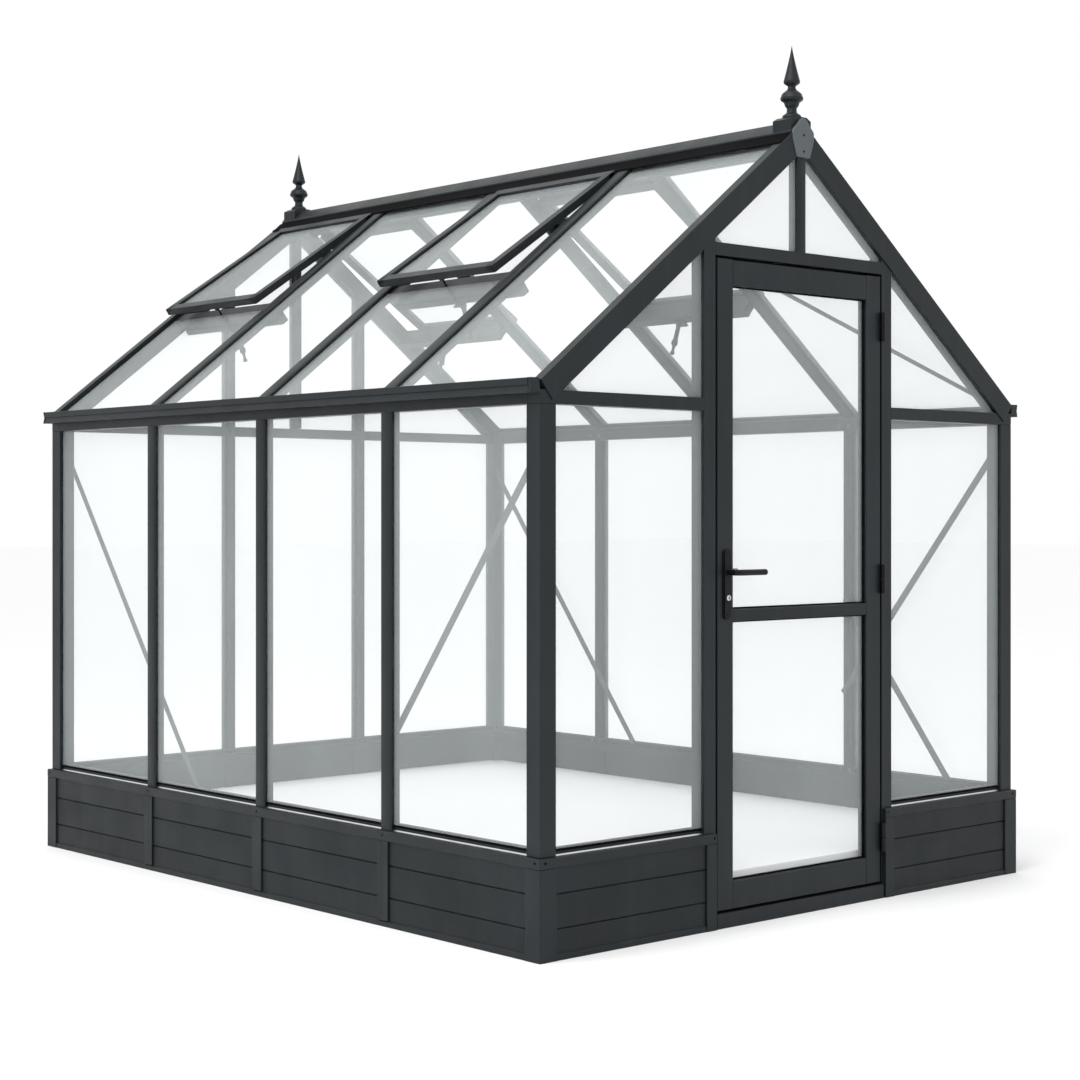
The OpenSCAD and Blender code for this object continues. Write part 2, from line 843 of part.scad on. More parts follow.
base_rails();
plinth_corner_posts();
plinth_strips();
plinth_panel_left();
plinth_panel_right();
plinth_panel_rear();
plinth_panels_front();
plinth_cap_sides();
plinth_cap_ends();
sill_rails();
corner_posts();
wall_bars();
rear_posts();
door_posts();
threshold();
lintel();
eave_rails();
gable_rails();
gutters();
gable_rafters_left();
gable_rafters_right();
gable_mullions();
roof_bars();
ridge();
apex_plates();
finials();
side_wall_glass();
end_wall_glass();
gable_glass();
roof_glass_left();
roof_glass_right();
wall_braces();
roof_brace();
vent_sills();
vent_stiles();
vent_rails();
vent_glass();
vent_openers();
hinge_frame_leaves();
door_stiles();
door_rails();
door_glass();
hinge_door_leaves();
door_backplates();
lock_cylinder();
lever();
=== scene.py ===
"""Glass greenhouse: the visible pieces, finishes, floor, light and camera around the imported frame.

Metres. The house stands on z = 0 with its door gable facing -Y. A size that a maker would change is a
property of the scene; the places come from the frame's own nodes.
"""
import math

import bmesh
import bpy
import numpy as np
from bpy.props import FloatProperty, FloatVectorProperty, IntProperty, PointerProperty
from bpy.types import Operator, Panel, PropertyGroup
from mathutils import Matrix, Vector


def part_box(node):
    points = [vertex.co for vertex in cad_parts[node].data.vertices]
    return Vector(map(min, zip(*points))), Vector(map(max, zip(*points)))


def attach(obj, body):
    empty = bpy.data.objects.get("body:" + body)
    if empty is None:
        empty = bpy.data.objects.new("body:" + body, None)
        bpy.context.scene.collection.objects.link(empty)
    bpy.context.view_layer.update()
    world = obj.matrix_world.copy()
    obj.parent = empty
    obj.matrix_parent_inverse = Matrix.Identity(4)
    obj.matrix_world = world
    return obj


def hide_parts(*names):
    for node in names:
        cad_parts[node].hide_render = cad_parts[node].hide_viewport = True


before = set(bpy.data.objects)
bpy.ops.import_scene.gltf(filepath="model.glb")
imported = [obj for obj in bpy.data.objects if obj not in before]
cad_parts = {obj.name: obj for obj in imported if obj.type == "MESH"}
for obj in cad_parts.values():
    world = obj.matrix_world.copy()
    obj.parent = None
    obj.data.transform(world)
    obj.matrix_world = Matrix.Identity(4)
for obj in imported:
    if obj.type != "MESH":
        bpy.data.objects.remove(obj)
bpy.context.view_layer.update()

bl_info = {
    "name": "Glass greenhouse",
    "version": (1, 0, 0),
    "blender": (4, 5, 0),
    "location": "View3D > Sidebar > Greenhouse",
    "description": "Builds the visible pieces of a glass greenhouse around its frame",
    "category": "Object",
}


# ---- Places worked out from the frame ----

def node_box(name):
    """Lowest and highest corner of a node as arrays."""
    low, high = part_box(name)
    return np.array(low), np.array(high)


X, Y, Z = np.eye(3)
BAYS = 4
VENT_BAYS = (1, 3)
PITCH = math.radians(38)
COS, TAN = math.cos(PITCH), math.tan(PITCH)
GLASS_T = 0.004
CAP_W, CAP_T, WEB_W, BAR_D = 0.050, 0.012, 0.022, 0.045
REBATE = CAP_T - 0.003
POST_W = 0.056
RAFTER_DEEP = 0.068
PLINTH_CAP_DEEP = 0.070
PLINTH_STRIP_IN = 0.3705
BEAM_HALF, CROWN_HALF = 0.020, 0.048
FINIAL_H, FINIAL_SET_IN = 0.215, 0.040
VENT_OPEN = math.radians(4)
VENT_L, VENT_T, VENT_BAR = 0.610, 0.024, 0.034
VENT_SILL_W, VENT_SILL_DEEP, VENT_LAP = 0.032, 0.075, 0.033
STILE_W, FOOT_RAIL_H, HEAD_RAIL_H = 0.064, 0.079, 0.074
MID_RAIL_Z, MID_RAIL_H = 0.885, 0.035
HINGE_X, HINGE_OUT, HINGE_H, HINGE_R = 0.361, 0.0085, 0.088, 0.0078
HINGE_FEET = (0.142, 0.931, 1.700)

BASE_X, BASE_Y, CAP_LOW = node_box("plinth_corner_posts")[1]
BASE_RAIL_TOP = node_box("base_rails")[1][2]
PLINTH_POST_W = BASE_Y - node_box("plinth_panel_left")[1][1]
PANEL_X = -node_box("plinth_panel_left")[0][0]
PANEL_T = node_box("plinth_panel_left")[1][0] + PANEL_X
PLINTH_TOP = node_box("plinth_cap_sides")[1][2]
HALF_W, HALF_L, POST_TOP = node_box("corner_posts")[1]
SILL_TOP = node_box("sill_rails")[1][2]
RAIL_TOP = node_box("gable_rails")[1][2]
GABLE_D = node_box("lintel")[1][1] - node_box("lintel")[0][1]
POST_IN = node_box("lintel")[1][0]
LINTEL_LOW, LINTEL_TOP = node_box("lintel")[0][2], node_box("lintel")[1][2]
POST_OUT = node_box("door_posts")[1][0]
THRESHOLD_TOP = node_box("threshold")[1][2]
THRESHOLD_Y = node_box("threshold")[0][1]
APEX_Z = node_box("gable_rafters_left")[1][2]
RIDGE_LOW, RIDGE_TOP = node_box("ridge")[0][2], node_box("ridge")[1][2]
RIDGE_CAP_HALF = node_box("ridge")[1][0]
EAVE_Z = APEX_Z - HALF_W * TAN
LEAF_LOW, LEAF_HIGH = node_box("door_stiles")
LEVER_LOW, LEVER_HIGH = node_box("lever")
BAY = (2 * HALF_L - POST_W) / BAYS
REAR_BAR_X = node_box("rear_posts")[1][0] - CAP_W / 2


def bar_y(i):
    """Place of bar i along the house."""
    return -HALF_L + POST_W / 2 + i * BAY


def bay_span(i, end_w):
    """Where bay i begins and ends between its bars' webs, beside an end frame of a given width."""
    near = -HALF_L + end_w if i == 0 else bar_y(i) + WEB_W / 2
    far = HALF_L - end_w if i == BAYS - 1 else bar_y(i + 1) - WEB_W / 2
    return near, far


def roof_z(x):
    """Height of the roof plane over a place x across the house."""
    return APEX_Z - abs(x) * TAN


VENT_HALF = (BAY - CAP_W - 0.016) / 2
VENT_SILL_U = (HALF_W - RIDGE_CAP_HALF) / COS - VENT_L + VENT_LAP


# ---- Shapes: each is a pair of an array of corners and a list of faces ----

def unit(v):
    """A vector brought to length one."""
    v = np.asarray(v, float)
    return v / np.linalg.norm(v)


def sweep(profile, start, end, across, up, cut_start=(0.0, 0.0), cut_end=(0.0, 0.0)):
    """A closed profile carried straight: corner = end point + p0 across + p1 up, pushed along by the cut's slope."""
    p = np.asarray(profile, float)
    start, end = np.asarray(start, float), np.asarray(end, float)
    along = unit(end - start)
    flat = p[:, :1] * np.asarray(across, float) + p[:, 1:] * np.asarray(up, float)
    first = start + flat + np.outer(p @ np.asarray(cut_start), along)
    last = end + flat + np.outer(p @ np.asarray(cut_end), along)
    n = len(p)
    i = np.arange(n)
    j = (i + 1) % n
    sides = np.stack([i, j, j + n, i + n], 1).tolist()
    return np.vstack([first, last]), sides + [i[::-1].tolist(), (i + n).tolist()]


def block(low, high):
    """A squared length of stock between two corners, swept along its longest side."""
    low, high = np.minimum(low, high), np.maximum(low, high)
    k = int(np.argmax(high - low))
    a, b = [axis for axis in range(3) if axis != k]
    w, h = (high - low)[[a, b]]
    end = low.copy()
    end[k] = high[k]
    return sweep([(0, 0), (w, 0), (w, h), (0, h)], low, end, np.eye(3)[a], np.eye(3)[b])


def lathe(outline, foot, axis, sides=32, flat_turn=0.0):
    """An outline of (radius, height) turned about an axis: corner = foot + h axis + r (cos a u + sin a v)."""
    line = np.asarray(outline, float)
    axis = unit(axis)
    u = unit(np.cross(axis, X if abs(axis[0]) < 0.9 else Y))
    v = np.cross(axis, u)
    a = flat_turn + np.arange(sides) * 2 * math.pi / sides
    ring = np.cos(a)[:, None] * u + np.sin(a)[:, None] * v
    corners = np.asarray(foot, float) + line[:, 1, None, None] * axis + line[:, 0, None, None] * ring
    return corners.reshape(-1, 3), ring_faces(len(line), sides)


def ring_faces(rings, sides):
    """Faces of a pile of rings, closed by a face at each end."""
    row, col = np.meshgrid(np.arange(rings - 1), np.arange(sides), indexing="ij")
    a = row * sides + col
    b = row * sides + (col + 1) % sides
    quads = np.stack([a, b, b + sides, a + sides], -1).reshape(-1, 4).tolist()
    last = (rings - 1) * sides
    return quads + [list(range(sides))[::-1], list(range(last, last + sides))]


def bent_bar(path, radii, side, sides=16):
    """A round bar along a flat path: ring k = path k + radius k (cos a side + sin a (tangent x side))."""
    path = np.asarray(path, float)
    radii = np.broadcast_to(np.asarray(radii, float), len(path))
    tangent = np.gradient(path, axis=0)
    tangent /= np.linalg.norm(tangent, axis=1)[:, None]
    side = unit(side)
    other = np.cross(tangent, side)
    a = np.arange(sides) * 2 * math.pi / sides
    ring = np.cos(a)[None, :, None] * side + np.sin(a)[None, :, None] * other[:, None, :]
    corners = path[:, None, :] + radii[:, None, None] * ring
    return corners.reshape(-1, 3), ring_faces(len(path), sides)


def flowing(keys, steps=8):
    """A turned outline through (radius, height) keys: radius eases from key to key by half a cosine wave."""
    keys = np.asarray(keys, float)
    t = np.linspace(0, 1, steps, endpoint=False)
    ease = (1 - np.cos(math.pi * t)) / 2
    r = keys[:-1, :1] + (keys[1:, :1] - keys[:-1, :1]) * ease
    h = keys[:-1, 1:] + (keys[1:, 1:] - keys[:-1, 1:]) * t
    return np.vstack([np.stack([r.ravel(), h.ravel()], 1), keys[-1:]])


def rounded(half_w, half_h, radius, steps=4):
    """Outline of a rectangle with quarter-circle corners, centred on zero."""
    a = np.linspace(0, math.pi / 2, steps + 1)
    quarter = np.stack([np.cos(a), np.sin(a)], 1) * radius
    turns = [(1, 1, 0), (-1, 1, 1), (-1, -1, 2), (1, -1, 3)]
    spin = [np.array([[1, 0], [0, 1]]), np.array([[0, 1], [-1, 0]]), np.array([[-1, 0], [0, -1]]),
            np.array([[0, -1], [1, 0]])]
    centre = np.array([half_w - radius, half_h - radius])
    return np.vstack([quarter @ spin[k] + centre * (sx, sy) for sx, sy, k in turns])


def flipped(shape, *axes):
    """A shape mirrored in the planes named by their axes."""
    corners, faces = shape
    factor = np.ones(3)
    factor[list(axes)] = -1
    return corners * factor, faces


def both_sides(shapes):
    """The shapes and their copies mirrored left to right."""
    return list(shapes) + [flipped(s, 0) for s in shapes]


def four_corners(shapes):
    """The shapes and their copies mirrored left to right, front to rear and both."""
    return [flipped(s, *axes) for axes in ((), (0,), (1,), (0, 1)) for s in shapes]


def screw_head(centre, normal, radius=0.0045):
    """A low domed head with a socket: eight sides and five rings."""
    r = radius
    outline = [(r, 0), (r, 0.3 * r), (0.8 * r, 0.52 * r), (0.25 * r, 0.6 * r), (0.2 * r, 0.4 * r)]
    return lathe(outline, centre, normal, 8)


def bolt_end(centre, normal, radius=0.007):
    """A washer, a hexagonal nut and the bolt's end."""
    r = radius
    centre, normal = np.asarray(centre, float), unit(normal)
    return [lathe([(1.3 * r, 0), (1.3 * r, 0.2 * r)], centre, normal, 16),
            lathe([(r, 0.2 * r), (r, 0.8 * r), (0.86 * r, 0.95 * r)], centre, normal, 6),
            lathe([(0.5 * r, 0.9 * r), (0.5 * r, 1.4 * r), (0.4 * r, 1.5 * r)], centre, normal, 12)]


def make_piece(name, shapes, finish, body, nodes=(), round_edge=None, smooth_angle=35):
    """Joins shapes into one mesh, points its faces outward, gives it a finish and hands it to the frame."""
    corners = np.vstack([points for points, _ in shapes])
    first_corner = np.cumsum([0] + [len(points) for points, _ in shapes[:-1]])
    face_sizes = [len(face) for _, faces in shapes for face in faces]
    indices = np.concatenate([np.hstack(faces) + first for (_, faces), first in zip(shapes, first_corner)])
    mesh = bpy.data.meshes.new(name)
    mesh.from_pydata(corners.tolist(), [], np.split(indices, np.cumsum(face_sizes)[:-1]))
    work = bmesh.new()
    work.from_mesh(mesh)
    bmesh.ops.recalc_face_normals(work, faces=work.faces)
    work.to_mesh(mesh)
    work.free()
    mesh.polygons.foreach_set("use_smooth", np.ones(len(mesh.polygons), bool))
    mesh.set_sharp_from_angle(angle=math.radians(smooth_angle))
    mesh.materials.append(finish_named(finish))
    piece = bpy.data.objects.new(name, mesh)
    bpy.context.scene.collection.objects.link(piece)
    width = bpy.context.scene.greenhouse_sizes.edge_round if round_edge is None else round_edge
    if width > 0:
        soften = piece.modifiers.new("soft_edges", "BEVEL")
        soften.width = width
        soften.segments = 2
        soften.limit_method = "ANGLE"
        soften.angle_limit = math.radians(40)
        soften.harden_normals = True
    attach(piece, body)
    if nodes:
        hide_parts(*nodes)
    return piece


def frame_piece(name, shapes, nodes, round_edge=None, body="house"):
    """A painted piece of the frame or of the door leaf."""
    return make_piece(name, shapes, "frame_paint", body, nodes, round_edge)


def board_piece(name, shapes, nodes=()):
    """A painted board of the plinth."""
    return make_piece(name, shapes, "board_paint", "house", nodes, 0.0006)


def seal_and_shade_piece(name, shapes, body="house", round_edge=0):
    """A black rubber seal. On the glazing bars and sills its black is partly painted shade."""
    return make_piece(name, shapes, "black_rubber_and_shade", body, round_edge=round_edge)


def fitting_piece(name, shapes, body="house", nodes=(), round_edge=0):
    """A black fitting."""
    return make_piece(name, shapes, "fitting_black", body, nodes, round_edge)


# ---- Finishes ----

def new_group(name, inputs, outputs):
    """An empty shader group with named inputs and outputs. Returns it with its input and output nodes."""
    tree = bpy.data.node_groups.new(name, "ShaderNodeTree")
    for label, kind, value in inputs:
        socket = tree.interface.new_socket(label, in_out="INPUT", socket_type=kind)
        socket.default_value = value
    for label, kind in outputs:
        tree.interface.new_socket(label, in_out="OUTPUT", socket_type=kind)
    return tree, tree.nodes.new("NodeGroupInput"), tree.nodes.new("NodeGroupOutput")


def noise(tree, coordinates, scale, detail=3.0, stretch=(1, 1, 1)):
    """A noise pattern on Object coordinates, stretched along the axes."""
    place = tree.nodes.new("ShaderNodeMapping")
    place.inputs["Scale"].default_value = stretch
    tree.links.new(coordinates, place.inputs["Vector"])
    pattern = tree.nodes.new("ShaderNodeTexNoise")
    pattern.inputs["Scale"].default_value = scale
    pattern.inputs["Detail"].default_value = detail
    tree.links.new(place.outputs["Vector"], pattern.inputs["Vector"])
    return pattern.outputs["Fac"]


def math_node(tree, operation, a, b, clamp=False):
    """One sum, product or other operation on two sockets or numbers."""
    node = tree.nodes.new("ShaderNodeMath")
    node.operation = operation
    node.use_clamp = clamp
    for socket, value in zip(node.inputs, (a, b)):
        if isinstance(value, (int, float)):
            socket.default_value = value
        else:
            tree.links.new(value, socket)
    return node.outputs[0]


def blend_colours(tree, factor, a, b):
    """Mixes two colours by a mask."""
    node = tree.nodes.new("ShaderNodeMix")
    node.data_type = "RGBA"
    for socket, value in ((node.inputs[0], factor), (node.inputs[6], a), (node.inputs[7], b)):
        if isinstance(value, (tuple, list)):
            socket.default_value = value
        else:
            tree.links.new(value, socket)
    return node.outputs[2]


def stretch_range(tree, value, low, high, to_low, to_high):
    """Maps a value from one range to another, clamped."""
    node = tree.nodes.new("ShaderNodeMapRange")
    node.inputs["From Min"].default_value = low
    node.inputs["From Max"].default_value = high
    node.inputs["To Min"].default_value = to_low
    node.inputs["To Max"].default_value = to_high
    tree.links.new(value, node.inputs["Value"])
    return node.outputs["Result"]


def coat_grain_group():
    """Powder coat: a fine orange-peel height, cloudy tone and a slow change of gloss."""
    tree, given, out = new_group(
        "coat_grain",
        [("Coordinates", "NodeSocketVector", (0, 0, 0)), ("Fine Scale", "NodeSocketFloat", 900.0)],
        [("Tone", "NodeSocketFloat"), ("Gloss", "NodeSocketFloat"), ("Height", "NodeSocketFloat")])
    at = given.outputs["Coordinates"]
    fine = tree.nodes.new("ShaderNodeTexNoise")
    fine.inputs["Detail"].default_value = 2.0
    tree.links.new(at, fine.inputs["Vector"])
    tree.links.new(given.outputs["Fine Scale"], fine.inputs["Scale"])
    cloud = noise(tree, at, 3.5, 4.0)
    speckle = noise(tree, at, 260.0, 2.0)
    tone = math_node(tree, "ADD", math_node(tree, "MULTIPLY", cloud, 0.7), math_node(tree, "MULTIPLY", speckle, 0.3))
    tree.links.new(stretch_range(tree, tone, 0.32, 0.68, 0.0, 1.0), out.inputs["Tone"])
    tree.links.new(stretch_range(tree, noise(tree, at, 9.0, 3.0), 0.3, 0.7, 0.0, 1.0), out.inputs["Gloss"])
    tree.links.new(fine.outputs["Fac"], out.inputs["Height"])
    return tree


def settled_dust_group():
    """A pale film where a face looks up, broken by noise, and faint runs down the upright faces."""
    tree, given, out = new_group(
        "settled_dust",
        [("Coordinates", "NodeSocketVector", (0, 0, 0)), ("Amount", "NodeSocketFloat", 0.3),
         ("Runs", "NodeSocketFloat", 0.1)],
        [("Mask", "NodeSocketFloat")])
    at = given.outputs["Coordinates"]
    facing = tree.nodes.new("ShaderNodeNewGeometry")
    parts = tree.nodes.new("ShaderNodeSeparateXYZ")
    tree.links.new(facing.outputs["Normal"], parts.inputs[0])
    upward = stretch_range(tree, parts.outputs["Z"], 0.25, 0.95, 0.0, 1.0)
    patch = stretch_range(tree, noise(tree, at, 14.0, 5.0), 0.35, 0.7, 0.25, 1.0)
    film = math_node(tree, "MULTIPLY", math_node(tree, "MULTIPLY", upward, patch), given.outputs["Amount"])
    streak = stretch_range(tree, noise(tree, at, 22.0, 4.0, (1, 1, 0.05)), 0.5, 0.8, 0.0, 1.0)
    runs = math_node(tree, "MULTIPLY", streak, given.outputs["Runs"])
    tree.links.new(math_node(tree, "ADD", film, runs, True), out.inputs["Mask"])
    return tree


def shared_group(name):
    """A shader group, made once and then found by its name."""
    makers = {"coat_grain": coat_grain_group, "settled_dust": settled_dust_group}
    return bpy.data.node_groups.get(name) or makers[name]()


def place_group(tree, name, coordinates, **values):
    """Places a shared group in a material with its own values."""
    node = tree.nodes.new("ShaderNodeGroup")
    node.node_tree = shared_group(name)
    tree.links.new(coordinates, node.inputs["Coordinates"])
    for label, value in values.items():
        node.inputs[label.replace("_", " ")].default_value = value
    return node


def new_material(name, base, roughness, metallic=0.0, specular=0.5):
    """A material with its shader and Object coordinates."""
    material = bpy.data.materials.new(name)
    material.use_nodes = True
    tree = material.node_tree
    shader = tree.nodes["Principled BSDF"]
    shader.inputs["Base Color"].default_value = (*base, 1)
    shader.inputs["Roughness"].default_value = roughness
    shader.inputs["Metallic"].default_value = metallic
    shader.inputs["Specular IOR Level"].default_value = specular
    material.diffuse_color = (*base, 1)
    return material, tree, shader, tree.nodes.new("ShaderNodeTexCoord").outputs["Object"]


def shade(colour, factor):
    """A colour made darker or lighter, with alpha one."""
    return (*[min(1.0, c * factor) for c in colour], 1)


def powder_coat(name, colour, roughness, dust=0.04, runs=0.010, tone=0.22, specular=0.24, bump=0.05):
    """Satin powder coat over aluminium, with dust where faces look up."""
    material, tree, shader, at = new_material(name, colour, roughness, specular=specular)
    grain = place_group(tree, "coat_grain", at, Fine_Scale=700.0)
    film = place_group(tree, "settled_dust", at, Amount=dust, Runs=runs)
    body = blend_colours(tree, grain.outputs["Tone"], shade(colour, 1 - tone), shade(colour, 1 + tone))
    dusty = blend_colours(tree, film.outputs["Mask"], body, (0.42, 0.43, 0.42, 1))
    tree.links.new(dusty, shader.inputs["Base Color"])
    gloss = stretch_range(tree, grain.outputs["Gloss"], 0, 1, roughness - 0.05, roughness + 0.06)
    rough = math_node(tree, "ADD", gloss, math_node(tree, "MULTIPLY", film.outputs["Mask"], 0.3), True)
    tree.links.new(rough, shader.inputs["Roughness"])
    raise_bump(tree, shader, grain.outputs["Height"], bump, 0.0004)
    return material


def raise_bump(tree, shader, height, strength, distance):
    """Feeds a height into the shader's normal."""
    bump = tree.nodes.new("ShaderNodeBump")
    bump.inputs["Strength"].default_value = strength
    bump.inputs["Distance"].default_value = distance
    tree.links.new(height, bump.inputs["Height"])
    tree.links.new(bump.outputs["Normal"], shader.inputs["Normal"])


def black_rubber_and_shade():
    """Matt black sealing strip, a little dusty. On the ridge wings and on the seals of the glazing bars and sills its
    black is partly painted shade.
    """
    material, tree, shader, at = new_material("black_rubber_and_shade", (0.003, 0.003, 0.0035), 0.8, specular=0.04)
    grain = place_group(tree, "coat_grain", at, Fine_Scale=1500.0)
    tree.links.new(blend_colours(tree, grain.outputs["Tone"], (0.002, 0.002, 0.0025, 1), (0.005, 0.005, 0.0055, 1)),
                   shader.inputs["Base Color"])
    raise_bump(tree, shader, grain.outputs["Height"], 0.15, 0.0003)
    return material


def brushed_metal(name, colour, roughness, stretch):
    """Bare metal with fine lines along one axis."""
    material, tree, shader, at = new_material(name, colour, roughness, metallic=1.0)
    lines = noise(tree, at, 600.0, 3.0, stretch)
    tone = stretch_range(tree, lines, 0.3, 0.7, 0.0, 1.0)
    tree.links.new(blend_colours(tree, tone, shade(colour, 0.8), shade(colour, 1.1)), shader.inputs["Base Color"])
    tree.links.new(stretch_range(tree, lines, 0.3, 0.7, roughness - 0.08, roughness + 0.1),
                   shader.inputs["Roughness"])
    raise_bump(tree, shader, lines, 0.1, 0.0002)
    return material


def clear_glass():
    """Float glass: mostly clear, with a pale cool painted reflection of the sky laid on by alpha, fuller at grazing
    angles and varying softly from place to place.
    """
    finishes = bpy.context.scene.greenhouse_finishes
    material, tree, shader, at = new_material("clear_glass", finishes.glass_colour, 0.06, specular=0.5)
    cloud = stretch_range(tree, noise(tree, at, 1.7, 3.0, (1, 1, 0.35)), 0.3, 0.7, 0.8, 1.2)
    edge = tree.nodes.new("ShaderNodeLayerWeight")
    edge.inputs["Blend"].default_value = 0.25
    # The film is a painted reflection: a pale diffuse colour mixed over the clear pane by alpha, standing in for the
    # white surroundings mirrored in the glass.
    film = math_node(tree, "ADD", math_node(tree, "MULTIPLY", cloud, finishes.glass_sky_reflection),
                     math_node(tree, "MULTIPLY", edge.outputs["Facing"], 0.10), True)
    tree.links.new(film, shader.inputs["Alpha"])
    smear = stretch_range(tree, noise(tree, at, 5.0, 4.0, (1, 1, 0.3)), 0.3, 0.7, 0.03, 0.10)
    tree.links.new(smear, shader.inputs["Roughness"])
    tint = blend_colours(tree, stretch_range(tree, noise(tree, at, 2.5, 2.0), 0.3, 0.7, 0, 1),
                         shade(finishes.glass_colour, 0.96), shade(finishes.glass_colour, 1.0))
    tree.links.new(tint, shader.inputs["Base Color"])
    return material


def pale_floor():
    """A plain pale floor with a very slight mottle."""
    colour = tuple(bpy.context.scene.greenhouse_stage.floor_colour)
    material, tree, shader, at = new_material("pale_floor", colour, 0.9, specular=0.1)
    mottle = stretch_range(tree, noise(tree, at, 2.0, 3.0), 0.3, 0.7, 0, 1)
    tree.links.new(blend_colours(tree, mottle, shade(colour, 0.99), shade(colour, 1.0)), shader.inputs["Base Color"])
    return material


def finish_named(name):
    """A finish, made once and then found by its name."""
    finishes = bpy.context.scene.greenhouse_finishes
    frame_colour = tuple(finishes.frame_colour)
    makers = {
        "frame_paint": lambda: powder_coat(name, frame_colour, finishes.frame_roughness),
        "board_paint": lambda: powder_coat(name, shade(frame_colour, 0.92)[:3], finishes.frame_roughness + 0.08,
                                           bump=0.12),
        "brace_paint": lambda: powder_coat(name, tuple(finishes.brace_colour), 0.5, dust=0.05),
        "plate_paint": lambda: powder_coat(name, tuple(finishes.plate_colour), 0.38, dust=0.05, tone=0.12),
        "fitting_black": lambda: powder_coat(name, (0.0026, 0.0029, 0.0033), 0.34, dust=0.01, runs=0.0,
                                             specular=0.18),
        "black_rubber_and_shade": black_rubber_and_shade,
        "bright_steel": lambda: brushed_metal(name, (0.62, 0.63, 0.64), 0.25, (0.05, 1, 1)),
        # Used only by the sill nosings; its pale colour is partly a painted highlight.
        "bare_aluminium_highlight": lambda: brushed_metal(name, (0.72, 0.74, 0.75), 0.4, (1, 0.03, 1)),
        "clear_glass": clear_glass,
        "pale_floor": pale_floor,
    }
    return bpy.data.materials.get(name) or makers[name]()


# ---- Settings ----

class GreenhouseSizes(PropertyGroup):
    """Sizes of the details that are added to the frame."""

    edge_round: FloatProperty(name="Edge round", description="Rounding of the extrusions' edges",
                              default=0.0012, min=0, unit="LENGTH")
    groove_low: FloatProperty(name="Lower groove", description="Height of the lower board joint",
                              default=0.084, unit="LENGTH")
    groove_high: FloatProperty(name="Upper groove", description="Height of the upper board joint",
                               default=0.176, unit="LENGTH")
    groove_depth: FloatProperty(name="Groove depth", description="Depth of the board joints",
                                default=0.006, unit="LENGTH")
    # The black seals under the bar caps are partly painted shade in the recess under the caps.
    seal_t: FloatProperty(name="Seal", description="Height of the black seals under the bar caps",
                          default=0.003, unit="LENGTH")
    screw_r: FloatProperty(name="Screw radius", description="Radius of the small screw heads",
                           default=0.0036, unit="LENGTH")
    finial_sides: IntProperty(name="Finial sides", description="Faces round a turned finial", default=40, min=12)


class GreenhouseFinishes(PropertyGroup):
    """Colours and gloss."""

    frame_colour: FloatVectorProperty(name="Frame", description="Powder coat of the frame", subtype="COLOR",
                                      default=(0.0090, 0.0128, 0.0150), min=0, max=1)
    frame_roughness: FloatProperty(name="Frame roughness", description="Gloss of the powder coat",
                                   default=0.42, min=0, max=1, subtype="FACTOR")
    brace_colour: FloatVectorProperty(name="Braces", description="Colour of the flat braces", subtype="COLOR",
                                      default=(0.060, 0.068, 0.072), min=0, max=1)
    plate_colour: FloatVectorProperty(name="Apex plates", description="Colour of the apex plates",
                                      subtype="COLOR", default=(0.085, 0.10, 0.105), min=0, max=1)
    # The glass colour is both the glass's tint and the colour of its painted sky reflection.
    glass_colour: FloatVectorProperty(name="Glass", description="Tint of the glass", subtype="COLOR",
                                      default=(0.84, 0.90, 0.905), min=0, max=1)
    # The glass film sets the strength of the painted sky reflection.
    glass_sky_reflection: FloatProperty(name="Glass film", description="How much of the sky shows on a glass face",
                              default=0.12, min=0, max=1, subtype="FACTOR")


class GreenhouseStage(PropertyGroup):
    """Camera, light and floor."""

    eye: FloatVectorProperty(name="Eye", description="Place of the camera", subtype="TRANSLATION",
                             default=(-4.633, -5.427, 1.177), unit="LENGTH")
    heading: FloatProperty(name="Heading", description="Direction of view, from +Y towards +X",
                           default=0.7391, subtype="ANGLE", unit="ROTATION")
    lens: FloatProperty(name="Lens", description="Focal length in millimetres on a 36 mm sensor", default=69.9)
    shift: FloatVectorProperty(name="Shift", description="Camera shift across and up", size=2,
                               default=(-0.038, -0.0254))
    floor_colour: FloatVectorProperty(name="Floor", description="Colour of the floor", subtype="COLOR",
                                      default=(0.975, 0.975, 0.975), min=0, max=1)
    ground_inside: FloatProperty(name="Ground inside", description="Height of the pale ground inside the plinth",
                                 default=0.145, min=0, unit="LENGTH")
    sky: FloatProperty(name="Sky", description="Strength of the white surroundings", default=1.0, min=0)
    key: FloatProperty(name="Key light", description="Power of the large light overhead", default=260.0, min=0,
                       unit="POWER")


# ---- Plinth ----

def board_profile(low, high, sizes, thickness):
    """Lapped boards seen from the end, (depth, height): each joint has a flat overhang and a sloping top edge."""
    d = sizes.groove_depth
    line = [(0, low)]
    for z in (sizes.groove_low, sizes.groove_high):
        line += [(0, z - 0.007), (0.4 * d, z - 0.0032), (d, z - 0.0014), (d, z + 0.0012), (0, z + 0.0012)]
    return line + [(0, high), (thickness, high), (thickness, low)]


